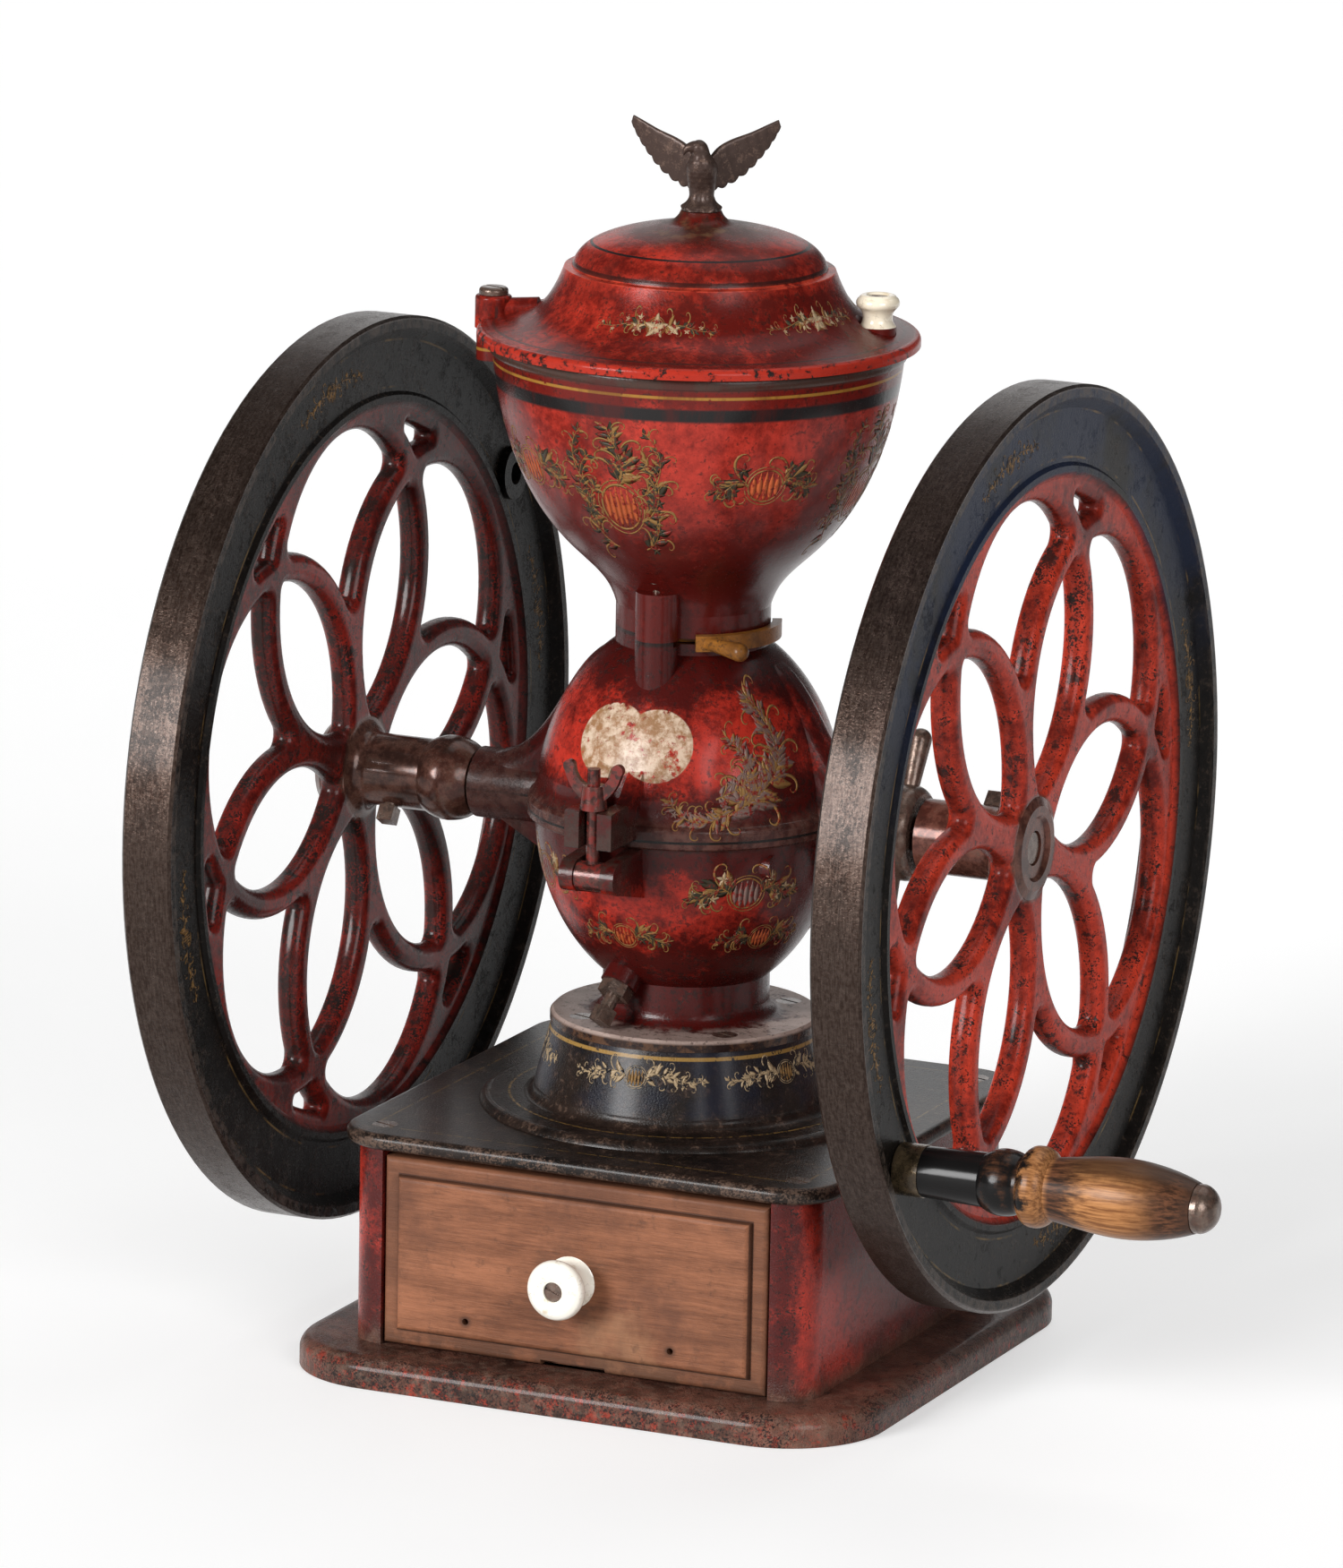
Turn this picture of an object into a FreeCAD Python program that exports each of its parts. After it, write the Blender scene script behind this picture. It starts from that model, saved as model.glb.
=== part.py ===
import FreeCAD, Part
import math
import os

# Double-flywheel counter coffee mill, millimetres.
# Origin: centre of the plinth's underside, below the case axis.
# +X runs along the shaft to the crank wheel, -Y faces the drawer front, +Z is up.

V = FreeCAD.Vector
UP = V(0, 0, 1)
ALONG = V(1, 0, 0)

# Clearances
RUNNING = 0.05
SEAT_GAP = 0.3
DRAWER_GAP = 1.5
LID_GAP = 0.5

# Base box and drawer opening
BOX_HALF_X = 136.0
BOX_HALF_Y = 140.0
BOX_CORNER = 21.0
BOX_WALL = 6.0
BOX_HEIGHT = 109.0
PLINTH_OUT_X = 34.0
PLINTH_OUT_Y = 30.0
PLINTH_CORNER = 57.0
PLINTH_HEIGHT = 17.0
PLINTH_EDGE = 8.5
FLOOR_THICK = 8.0
FRONT_POST = 21.5
RUNNER_WIDTH = 12.0
POST_RADIUS = 8.0

# Top plate and pedestal
PLATE_OUT_X = 9.0
PLATE_OUT_Y = 5.0
PLATE_CORNER = 30.0
PLATE_THICK = 9.0
PLATE_EDGE = 4.0
PLATE_SCREW_IN_X = 14.0
PLATE_SCREW_IN_Y = 18.0
DISC_RADIUS = 105.0
DISC_FLARE = 7.0
DISC_RISE = 4.5
PEDESTAL_LOW = 82.0
PEDESTAL_FLARE = 6.0
PEDESTAL_HIGH = 73.0
PEDESTAL_RISE = 41.5
PEDESTAL_WALL = 7.0
PEDESTAL_BORE = 48.0

# Screws of the plate and the flange
SCREW_SHANK = 3.5
SCREW_HEAD = 7.0
SCREW_HEAD_DEPTH = 3.5
PLATE_SCREW_DEPTH = 18.0
FLANGE_SCREW_DEPTH = 8.0

# Grinding case
CASE_STAND = 119.0
CASE_RADIUS = 84.0
CASE_RISE = 107.0
CASE_WALL = 6.0
LIP_STAND = 4.0
LIP_LOW = 4.5
LIP_HIGH = 8.0
LIP_FLARE = 13.0
FLANGE_RADIUS = 74.0
FLANGE_THICK = 6.0
FLANGE_SCREW_R = 60.0
NECK_LOW = 45.5
NECK_LOW_WALL = 7.5
THROAT = 33.0
NECK_WALL = 9.0
NECK_DROP = 5.0
BEARING_RADIUS = 19.5
LEFT_BEARING_REACH = 41.0
RIGHT_BEARING_REACH = 28.0
BUSH_RADIUS = 13.0
RIB_DEPTH = 14.0
WEB_THICK = 30.0
OIL_HOLE_IN = 24.0
OIL_HOLE = 3.0

# Lock screw on the lower case
LOCK_ANGLE = -17.0
LOCK_SLOPE = 50.0
LOCK_STAND = 12.5
LOCK_RISE = 20.0
LOCK_NUT_THICK = 7.0
LOCK_NUT_FLATS = 16.0
LOCK_SCREW = 4.0
LOCK_REACH = 13.0
LOCK_HEAD = 9.0

# Front clamp and rear hinge
CLAMP_X = -6.0
CLAMP_STAND = 24.0
CLAMP_DROP = 16.0
EAR_INNER = 8.0
EAR_OUTER = 16.0
EAR_RADIUS = 9.0
CLAMP_PIN = 3.5
BOLT_RADIUS = 3.5
BOLT_LENGTH = 59.0
FORK_INNER = 5.3
FORK_OUTER = 13.7
FORK_FRONT = 7.0
NUT_SEAT = 37.0
WING_SPAN = 17.0
HINGE_STAND = 16.0
HINGE_PIN = 3.0
HINGE_EAR = 8.0

# Hopper, gate and lid
HOPPER_RIM = 113.0
HOPPER_HEIGHT = 155.0
HOPPER_WALL = 5.0
HOPPER_BEAD = 6.0
BOSS_RADIUS = 12.0
BOSS_REACH = 26.0
BOSS_OUT = 5.0
HOPPER_SCREW = 3.0
HOPPER_SCREW_BELOW = 18.0
HOPPER_SCREW_ABOVE = 31.0
LUG_DEPTH = 17.0
LUG_TAP = 14.0
SLOT_HEIGHT = 3.0
GATE_LAP = 4.0
GATE_EAR = 7.0
GATE_ARM = 5.0
GATE_RIM_GAP = 0.8
GATE_RIM_THICK = 5.2
GATE_RIM_HEIGHT = 8.5
GATE_RIM_FROM = 26.0
GATE_RIM_TO = 118.0
GATE_SWING = 60.0
GATE_HANDLE = 24.0
GATE_HANDLE_LEAN = 20.0
GATE_HANDLE_NECK = 3.2
GATE_HANDLE_END = 5.0
LID_OVER = 6.5
LID_HEIGHT = 70.5
LID_PIVOT_OUT = 1.0
LID_PIVOT_ANGLE = -79.0
LID_PIVOT_PIN = 4.0
LID_BOSS = 10.0
LID_BOSS_HEIGHT = 18.0
LID_KNOB_IN = 22.5
LID_KNOB_ANGLE = 104.0
LID_KNOB_RADIUS = 11.75
LID_KNOB_HEIGHT = 17.0
LID_PAD = 12.5
LID_PAD_ROOT = 4.0
LID_KNOB_SCREW = 2.5
EAGLE_HEADING = 52.0
WING_THICK = 3.2
WING_SWEEP = 24.0

# Shaft, wheels and crank
SHAFT_RADIUS = 9.5
WHEEL_RADIUS = 250.0
RIM_HALF = 14.5
RIM_LIP = 7.0
RIM_DEPTH = 51.0
RIM_BEAD = 7.0
CHANNEL_DEPTH = 6.0
WEB_HALF = 7.5
RING_SHARE = 0.4623
RING_OVER = 1.5
BAR_WIDTH = 16.0
BAR_ROUND = 6.8
OPENING_CORNER = 5.0
PETAL_ANGLE = 10.0
PETALS = 6
LEFT_HUB_LENGTH = 78.0
RIGHT_HUB_LENGTH = 58.0
HUB_RADIUS = 20.0
BALL_RADIUS = 23.5
BALL_OUT = 18.0
CRANK_IN = 27.0
CRANK_ANGLE = 217.0
SPARE_ANGLE = 37.0
CRANK_BOSS = 15.0
SPINDLE_RADIUS = 5.0
SPARE_BORE = 6.5
FERRULE_OUT = 9.0
FERRULE_LENGTH = 15.0
FERRULE_RADIUS = 14.0
GRIP_LENGTH = 152.0
GRIP_NECK = 13.5
GRIP_SWELL = 17.6
GRIP_BEAD = 21.5
GRIP_BEAD_AT = 65.0
SPINDLE_CAP = 12.0
SPINDLE_HEAD = 13.0
SET_SCREW = 4.0
BUSH_FACE = 2.0
HUB_GAP = 3.0
LEFT_SCREW_IN = 28.0
LEFT_SCREW_ANGLE = 238.0
RIGHT_SCREW_IN = 23.0
RIGHT_SCREW_ANGLE = 45.0
SET_HEAD = 9.0

# Adjusting nut
SLEEVE_RADIUS = 17.0
SLEEVE_SHORT = 2.0
ADJUST_GAP = 1.0
ADJUST_WIDTH = 24.0
ADJUST_RADIUS = 26.0
ADJUST_LEAN = 27.0
ADJUST_REACH = 58.0

# Burrs and worm
BURR_INSET = 22.0
BURR_THICK = 9.0
BURR_X = 29.0
BURR_GAP = 1.5
BURR_TEETH = 16
WORM_INSET = 32.0
WORM_RADIUS = 15.0
WORM_LUG = 27.0
BURR_BOSS_ANGLES = (200, 270, 340)
BURR_BOSS_IN = 14.0
BURR_BOSS = 7.0
BURR_GROOVE = 3.5

# Drawer
DRAWER_PROUD = 4.0
DRAWER_FRONT_THICK = 14.0
DRAWER_FIELD_RISE = 4.0
DRAWER_BORDER = 9.0
DRAWER_HEAD_GAP = 3.5
DRAWER_BOARD = 8.0
DRAWER_SIDE_IN = 9.5
DRAWER_SIDE_DROP = 20.0
DRAWER_SHORT = 9.0
DRAWER_KNOB_RISE = 51.0
DRAWER_KNOB_RADIUS = 16.5
DRAWER_KNOB_REACH = 24.0
DRAWER_SCREW = 2.5
NOTCH_HALF = 19.0
NAIL_HOLE = 1.8
NAIL_DEPTH = 6.0
NAIL_BELOW = 30.5
NAIL_LEFT = -62.0
NAIL_RIGHT = 59.0

# Levels and places that follow from the sizes above
BOX_TOP = PLINTH_HEIGHT + BOX_HEIGHT
PLATE_TOP = BOX_TOP + PLATE_THICK
DISC_TOP = PLATE_TOP + DISC_RISE
PEDESTAL_TOP = DISC_TOP + PEDESTAL_RISE
FLANGE_TOP = PEDESTAL_TOP + FLANGE_THICK
SHAFT_Z = PEDESTAL_TOP + CASE_STAND
NECK_TOP = SHAFT_Z + CASE_RISE - NECK_DROP
SLOT_FLOOR = NECK_TOP - SLOT_HEIGHT
HOPPER_TOP = NECK_TOP + HOPPER_HEIGHT
LID_BOTTOM = HOPPER_TOP + LID_GAP
LID_TOP = LID_BOTTOM + LID_HEIGHT
DISC_FOOT = DISC_RADIUS + DISC_FLARE
PEDESTAL_FOOT = PEDESTAL_LOW + PEDESTAL_FLARE
LIP_RADIUS = CASE_RADIUS + LIP_STAND
NECK_HIGH = THROAT + NECK_WALL
NECK_LOW_BORE = NECK_LOW - NECK_LOW_WALL
BOSS_AT = NECK_HIGH + BOSS_OUT
CLAMP_Y = -LIP_RADIUS - CLAMP_STAND
CLAMP_Z = SHAFT_Z - CLAMP_DROP
HINGE_Y = LIP_RADIUS + HINGE_STAND
GATE_RADIUS = THROAT + GATE_LAP
GATE_RIM_INNER = NECK_HIGH + GATE_RIM_GAP
GATE_RIM_OUTER = GATE_RIM_INNER + GATE_RIM_THICK
LID_RADIUS = HOPPER_RIM + LID_OVER
LID_PIVOT_R = HOPPER_RIM + LID_PIVOT_OUT
LID_KNOB_R = LID_RADIUS - LID_KNOB_IN
BEARING_LEFT = -CASE_RADIUS - LEFT_BEARING_REACH
BEARING_RIGHT = CASE_RADIUS + RIGHT_BEARING_REACH
ADJUST_START = BEARING_RIGHT + ADJUST_GAP
ADJUST_END = ADJUST_START + ADJUST_WIDTH
SLEEVE_END = ADJUST_END - SLEEVE_SHORT
LEFT_WHEEL_X = BEARING_LEFT - LEFT_HUB_LENGTH
RIGHT_WHEEL_X = ADJUST_END + RIGHT_HUB_LENGTH
BALL_X = BEARING_LEFT - BALL_OUT
LEFT_SCREW_X = LEFT_WHEEL_X + LEFT_SCREW_IN
RIGHT_SCREW_X = RIGHT_WHEEL_X - RIGHT_SCREW_IN
RIM_INNER = WHEEL_RADIUS - RIM_DEPTH
CHANNEL_INNER = RIM_INNER + RIM_BEAD
RING_RADIUS = RIM_INNER * RING_SHARE
RING_CENTRE = RIM_INNER + RING_OVER - RING_RADIUS
CRANK_R = WHEEL_RADIUS - CRANK_IN
FERRULE_START = RIGHT_WHEEL_X + FERRULE_OUT
GRIP_START = FERRULE_START + FERRULE_LENGTH
GRIP_END = GRIP_START + GRIP_LENGTH
SPINDLE_END = GRIP_END + SPINDLE_CAP
BURR_RADIUS = CASE_RADIUS - BURR_INSET
OPENING_HALF = BOX_HALF_X - FRONT_POST
DRAWER_FRONT_HALF = OPENING_HALF - DRAWER_GAP
DRAWER_SIDE_HALF = OPENING_HALF - DRAWER_SIDE_IN
DRAWER_FACE_Y = -BOX_HALF_Y - DRAWER_PROUD
DRAWER_BACK_Y = BOX_HALF_Y - BOX_WALL - DRAWER_SHORT
DRAWER_LOW = PLINTH_HEIGHT + SEAT_GAP
DRAWER_TOP = BOX_TOP - DRAWER_HEAD_GAP
DRAWER_SIDE_TOP = BOX_TOP - DRAWER_SIDE_DROP
DRAWER_KNOB_Z = PLINTH_HEIGHT + DRAWER_KNOB_RISE


def outline(place, start, *steps):
    """Closed wire: a point is a straight step, a list of two an arc, a longer list a smooth curve."""
    edges = []
    here = start
    for step in steps + (start,):
        if isinstance(step, list):
            points = [place(*here)] + [place(*point) for point in step]
            if len(step) == 2:
                curve = Part.Arc(*points)
            else:
                curve = Part.BSplineCurve()
                curve.interpolate(points)
            edges.append(curve.toShape())
            here = step[-1]
        elif step != here:
            edges.append(Part.LineSegment(place(*here), place(*step)).toShape())
            here = step
    return Part.Wire(edges)


def turned(start, *steps):
    """Solid turned about the case's upright axis from an outline of radius and height."""
    wire = outline(lambda r, z: V(r, 0, z), start, *steps)
    return Part.Face(wire).revolve(V(0, 0, 0), UP, 360)


def shaft_turned(start, *steps):
    """Solid turned about the shaft from an outline of place along X and radius."""
    wire = outline(lambda x, r: V(x, 0, SHAFT_Z + r), start, *steps)
    return Part.Face(wire).revolve(V(0, 0, SHAFT_Z), ALONG, 360)


def rod(radius, start, end):
    """Round bar between two points."""
    span = end - start
    return Part.makeCylinder(radius, span.Length, start, span)


def taper(radius_start, radius_end, start, end):
    """Round bar whose radius changes from one end to the other."""
    span = end - start
    return Part.makeCone(radius_start, radius_end, span.Length, start, span)


def block(x0, x1, y0, y1, z0, z1):
    """Box between two corners."""
    return Part.makeBox(x1 - x0, y1 - y0, z1 - z0, V(x0, y0, z0))


def rounded_slab(half_x, half_y, corner, low, high):
    """Upright slab with rounded corners."""
    slab = block(-half_x, half_x, -half_y, half_y, low, high)
    upright = [e for e in slab.Edges if abs(e.tangentAt(e.FirstParameter).z) > 0.9]
    return slab.makeFillet(corner, upright)


def around(radius, angle, z=0.0):
    """Point at a radius, with the angle from the front towards the crank side, in degrees."""
    turn = math.radians(angle)
    return V(radius * math.sin(turn), -radius * math.cos(turn), z)


def on_wheel(x, radius, angle):
    """Point on a wheel, with the angle from the rear upwards, in degrees."""
    turn = math.radians(angle)
    return V(x, radius * math.cos(turn), SHAFT_Z + radius * math.sin(turn))


def edges_where(shape, test):
    """Edges whose middle point passes a test."""
    return [e for e in shape.Edges if test(e.valueAt((e.FirstParameter + e.LastParameter) / 2))]


def fused(first, *others):
    """Union of solids, with seams removed."""
    return first.fuse(list(others)).removeSplitter()


def oval_radius(radius, rise, z):
    """Radius of the egg-shaped case at a height."""
    return radius * math.sqrt(max(0.0, 1 - ((z - SHAFT_Z) / rise) ** 2))


def oval_height(radius, rise, r):
    """Half height of the egg-shaped case at a radius."""
    return rise * math.sqrt(1 - (r / radius) ** 2)


def oval_points(radius, rise, z_from, z_to, count):
    """Points up or down the egg-shaped case."""
    heights = [z_from + (z_to - z_from) * k / count for k in range(1, count + 1)]
    return [(oval_radius(radius, rise, z), z) for z in heights]


def slotted(head, slot_width, slot_depth, top, direction, reach):
    """Screw head with a straight driver slot cut into its outer end."""
    side = direction.cross(V(0.31, 0.87, 0.38)).normalize()
    across = direction.cross(side).normalize()
    corner = top - direction * slot_depth - side * reach - across * (slot_width / 2)
    face = Part.makePolygon([
        corner,
        corner + side * 2 * reach,
        corner + side * 2 * reach + across * slot_width,
        corner + across * slot_width,
        corner,
    ])
    return head.cut(Part.Face(face).extrude(direction * (slot_depth * 2)))


def base_box():
    """Plinth and drawer box in one casting, open at the front and closed by the plate above."""
    plinth_x = BOX_HALF_X + PLINTH_OUT_X
    plinth_y = BOX_HALF_Y + PLINTH_OUT_Y
    plinth = rounded_slab(plinth_x, plinth_y, PLINTH_CORNER, 0, PLINTH_HEIGHT)
    top_edges = edges_where(plinth, lambda p: abs(p.z - PLINTH_HEIGHT) < 0.01)
    plinth = plinth.makeFillet(PLINTH_EDGE, top_edges)
    box = rounded_slab(BOX_HALF_X, BOX_HALF_Y, BOX_CORNER, FLOOR_THICK, BOX_TOP)
    inner_x = BOX_HALF_X - BOX_WALL
    inner_y = BOX_HALF_Y - BOX_WALL
    inside = rounded_slab(inner_x, inner_y, BOX_CORNER - BOX_WALL, FLOOR_THICK, BOX_TOP)
    mouth = block(-OPENING_HALF, OPENING_HALF, -BOX_HALF_Y, -inner_y + 1, PLINTH_HEIGHT, BOX_TOP)
    shell = fused(plinth, box).cut([inside, mouth])
    added = []
    for side in (-1, 1):
        middle = side * (DRAWER_SIDE_HALF - DRAWER_BOARD / 2)
        half = RUNNER_WIDTH / 2
        added.append(block(middle - half, middle + half, -inner_y, inner_y, FLOOR_THICK, PLINTH_HEIGHT))
    holes = []
    for place in plate_screw_places():
        top = V(place.x, place.y, BOX_TOP)
        added.append(rod(POST_RADIUS, V(place.x, place.y, FLOOR_THICK), top))
        holes.append(rod(SCREW_SHANK, top - UP * PLATE_SCREW_DEPTH, top))
    return fused(shell, *added).cut(holes)


def plate_screw_places():
    """Corner places of the plate screws."""
    x = BOX_HALF_X - PLATE_SCREW_IN_X
    y = BOX_HALF_Y - PLATE_SCREW_IN_Y
    return [V(i * x, j * y, PLATE_TOP) for i in (-1, 1) for j in (-1, 1)]


def flange_screw_places():
    """Places of the flange screws, at the corners between front, sides and rear."""
    return [around(FLANGE_SCREW_R, 45 + 90 * k, FLANGE_TOP) for k in range(4)]


def countersunk(place, depth):
    """Countersunk screw body with its flat top at a place."""
    head = taper(SCREW_SHANK, SCREW_HEAD, place - UP * SCREW_HEAD_DEPTH, place)
    return fused(head, rod(SCREW_SHANK, place - UP * depth, place - UP * SCREW_HEAD_DEPTH))


def countersunk_screw(place, depth):
    """Countersunk screw with a driver slot."""
    return slotted(countersunk(place, depth), 1.6, 1.4, place, UP, SCREW_HEAD)


def top_plate():
    """Cast plate with a raised disc and a hollow pedestal cone that carries the case."""
    half_x = BOX_HALF_X + PLATE_OUT_X
    half_y = BOX_HALF_Y + PLATE_OUT_Y
    plate = rounded_slab(half_x, half_y, PLATE_CORNER, BOX_TOP, PLATE_TOP)
    rims = edges_where(plate, lambda p: abs(p.z - BOX_TOP) < 0.01 or abs(p.z - PLATE_TOP) < 0.01)
    plate = plate.makeFillet(PLATE_EDGE, rims)
    inner_low = PEDESTAL_LOW - PEDESTAL_WALL
    inner_high = PEDESTAL_HIGH - PEDESTAL_WALL
    deck = PEDESTAL_TOP - PEDESTAL_WALL
    cone_low = DISC_TOP + PEDESTAL_FOOT - PEDESTAL_LOW
    plate = plate.cut(rod(inner_low, V(0, 0, BOX_TOP), V(0, 0, PLATE_TOP)))
    bend = (PEDESTAL_FOOT - PEDESTAL_LOW) * (1 - math.sqrt(0.5))
    side = (DISC_FOOT - DISC_RADIUS) * math.sqrt(0.5)
    pedestal = turned(
        (inner_low, BOX_TOP + PLATE_EDGE),
        (DISC_FOOT, BOX_TOP + PLATE_EDGE),
        (DISC_FOOT, PLATE_TOP),
        [(DISC_RADIUS + side, PLATE_TOP + DISC_RISE * math.sqrt(0.5)), (DISC_RADIUS, DISC_TOP)],
        (PEDESTAL_FOOT, DISC_TOP),
        [(PEDESTAL_LOW + bend, DISC_TOP + bend), (PEDESTAL_LOW, cone_low)],
        (PEDESTAL_HIGH, PEDESTAL_TOP),
        (PEDESTAL_BORE, PEDESTAL_TOP),
        (PEDESTAL_BORE, deck),
        (inner_high, deck),
        (inner_low, DISC_TOP),
    )
    sunk = [countersunk(p, PLATE_THICK + 1) for p in plate_screw_places()]
    tapped = [rod(SCREW_SHANK, V(p.x, p.y, deck), V(p.x, p.y, PEDESTAL_TOP)) for p in flange_screw_places()]
    return fused(plate, pedestal).cut(sunk + tapped)


def bearing_arm(low, high):
    """Round bearing barrel along the shaft, between two heights, with the case's inside left clear."""
    barrel = rod(BEARING_RADIUS, V(BEARING_LEFT, 0, SHAFT_Z), V(BEARING_RIGHT, 0, SHAFT_Z))
    slab = block(BEARING_LEFT, BEARING_RIGHT, -BEARING_RADIUS, BEARING_RADIUS, low, high)
    return barrel.common(slab)


def case_inside():
    """Hollow of the grinding case, from the throat above to the neck below."""
    radius = CASE_RADIUS - CASE_WALL
    rise = CASE_RISE - CASE_WALL
    low = SHAFT_Z - oval_height(radius, rise, NECK_LOW_BORE)
    high = SHAFT_Z + oval_height(radius, rise, THROAT)
    return turned(
        (0, PEDESTAL_TOP),
        (NECK_LOW_BORE, PEDESTAL_TOP),
        (NECK_LOW_BORE, low),
        oval_points(radius, rise, low, SHAFT_Z, 5),
        oval_points(radius, rise, SHAFT_Z, high, 5),
        (THROAT, NECK_TOP),
        (0, NECK_TOP),
    )


def bearing_bores():
    """Bores for the left bush and the right sleeve."""
    return rod(BUSH_RADIUS, V(BEARING_LEFT, 0, SHAFT_Z), V(BEARING_RIGHT, 0, SHAFT_Z))


def lock_axis():
    """Start, direction and seat of the lock screw on the lower case, sloping down and outwards."""
    outward = around(1, LOCK_ANGLE)
    slope = math.radians(LOCK_SLOPE)
    direction = V(outward.x * math.cos(slope), outward.y * math.cos(slope), -math.sin(slope))
    return around(NECK_LOW + LOCK_STAND, LOCK_ANGLE, FLANGE_TOP + LOCK_RISE), direction


def lower_housing():
    """Lower half of the case: flange, neck, bowl, bearing halves, clamp ears and hinge ears."""
    bowl_low = SHAFT_Z - oval_height(CASE_RADIUS, CASE_RISE, NECK_LOW)
    foot = FLANGE_THICK + 2
    body = turned(
        (0, PEDESTAL_TOP),
        (FLANGE_RADIUS, PEDESTAL_TOP),
        (FLANGE_RADIUS, FLANGE_TOP - 2),
        (FLANGE_RADIUS - 2, FLANGE_TOP),
        (NECK_LOW + foot, FLANGE_TOP),
        [(NECK_LOW + foot * 0.3, FLANGE_TOP + foot * 0.3), (NECK_LOW, FLANGE_TOP + foot)],
        (NECK_LOW, bowl_low),
        oval_points(CASE_RADIUS, CASE_RISE, bowl_low, SHAFT_Z - LIP_LOW, 5),
        (LIP_RADIUS - 1, SHAFT_Z - LIP_LOW),
        (LIP_RADIUS, SHAFT_Z - LIP_LOW + 1),
        (LIP_RADIUS, SHAFT_Z),
        (0, SHAFT_Z),
    )
    arms = bearing_arm(SHAFT_Z - BEARING_RADIUS, SHAFT_Z)
    ribs = []
    for end, side in ((BEARING_LEFT, -1), (BEARING_RIGHT, 1)):
        near = side * oval_radius(CASE_RADIUS, CASE_RISE, SHAFT_Z - BEARING_RADIUS - RIB_DEPTH)
        profile = outline(
            lambda x, z: V(x, -BEARING_RADIUS / 2, z),
            (0.8 * near, SHAFT_Z - 1),
            (0.8 * near, SHAFT_Z - BEARING_RADIUS - RIB_DEPTH),
            (near, SHAFT_Z - BEARING_RADIUS - RIB_DEPTH),
            (end - side * BEARING_RADIUS / 3, SHAFT_Z - BEARING_RADIUS * 0.6),
            (end - side * BEARING_RADIUS / 3, SHAFT_Z - 1),
        )
        ribs.append(Part.Face(profile).extrude(V(0, BEARING_RADIUS, 0)))
    ears = []
    for side in (-1, 1):
        x0 = CLAMP_X + side * EAR_INNER
        x1 = CLAMP_X + side * EAR_OUTER
        ears.append(rod(EAR_RADIUS, V(x0, CLAMP_Y, CLAMP_Z), V(x1, CLAMP_Y, CLAMP_Z)))
        root = SHAFT_Z - LIP_LOW
        profile = outline(
            lambda y, z: V(min(x0, x1), y, z),
            (CLAMP_Y, CLAMP_Z + EAR_RADIUS),
            (CLAMP_Y, CLAMP_Z - EAR_RADIUS),
            (-CASE_RADIUS * 0.9, CLAMP_Z - 2 * EAR_RADIUS),
            (-CASE_RADIUS * 0.9, root),
        )
        ears.append(Part.Face(profile).extrude(V(EAR_OUTER - EAR_INNER, 0, 0)))
    bosses = []
    for angle in BURR_BOSS_ANGLES:
        start = on_wheel(BURR_X + BURR_THICK, BURR_RADIUS - BURR_BOSS_IN, angle)
        wall = V(CASE_RADIUS * 0.84, start.y, start.z)
        bosses.append(rod(BURR_BOSS, start, wall))
    middle, direction = lock_axis()
    seat = middle - direction * (LOCK_NUT_THICK / 2)
    pad = rod(LOCK_NUT_FLATS * 0.65, seat - direction * 12, seat)
    outside = fused(body, arms, *ribs, *ears, *hinge_ears(), pad)
    tapped = rod(LOCK_SCREW, seat - direction * 20, seat + direction)
    pin = rod(CLAMP_PIN, V(CLAMP_X - EAR_OUTER, CLAMP_Y, CLAMP_Z), V(CLAMP_X + EAR_OUTER, CLAMP_Y, CLAMP_Z))
    hollow = outside.cut([case_inside(), bearing_bores(), tapped, pin, hinge_hole()])
    sunk = [countersunk(p, FLANGE_THICK + 1) for p in flange_screw_places()]
    return fused(hollow, *bosses).cut(sunk)


def hinge_ears():
    """Outer ears of the rear hinge, on the lower half."""
    ears = []
    for side in (-1, 1):
        x0 = side * EAR_INNER
        x1 = side * EAR_OUTER
        ears.append(rod(HINGE_EAR, V(x0, HINGE_Y, SHAFT_Z), V(x1, HINGE_Y, SHAFT_Z)))
        ear_foot = SHAFT_Z - HINGE_EAR
        ears.append(block(min(x0, x1), max(x0, x1), CASE_RADIUS * 0.95, HINGE_Y, ear_foot, SHAFT_Z))
    return ears


def hinge_hole():
    """Hole of the rear hinge pin."""
    return rod(HINGE_PIN, V(-EAR_OUTER, HINGE_Y, SHAFT_Z), V(EAR_OUTER, HINGE_Y, SHAFT_Z))


def fork_lugs():
    """Fork that the swing bolt drops into, with a seat rounded about the bolt's pivot."""
    seat = CLAMP_Z + NUT_SEAT - SEAT_GAP
    reach = NUT_SEAT - SEAT_GAP
    front = CLAMP_Y - FORK_FRONT
    drop = math.sqrt(reach ** 2 - FORK_FRONT ** 2)
    half = math.sqrt(reach ** 2 - (FORK_FRONT / 2) ** 2)
    wall = CLAMP_Y + WING_SPAN + 1
    lugs = []
    for side in (-1, 1):
        x = CLAMP_X + (FORK_INNER if side > 0 else -FORK_OUTER)
        profile = outline(
            lambda y, z: V(x, y, z),
            (front, SHAFT_Z + SEAT_GAP),
            (front, CLAMP_Z + drop),
            [(CLAMP_Y - FORK_FRONT / 2, CLAMP_Z + half), (CLAMP_Y, seat)],
            (wall, seat),
            (-CASE_RADIUS * 0.85, seat + (-CASE_RADIUS * 0.85 - wall)),
            (-CASE_RADIUS * 0.85, SHAFT_Z + SEAT_GAP),
        )
        lugs.append(Part.Face(profile).extrude(V(FORK_OUTER - FORK_INNER, 0, 0)))
    return lugs


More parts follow.
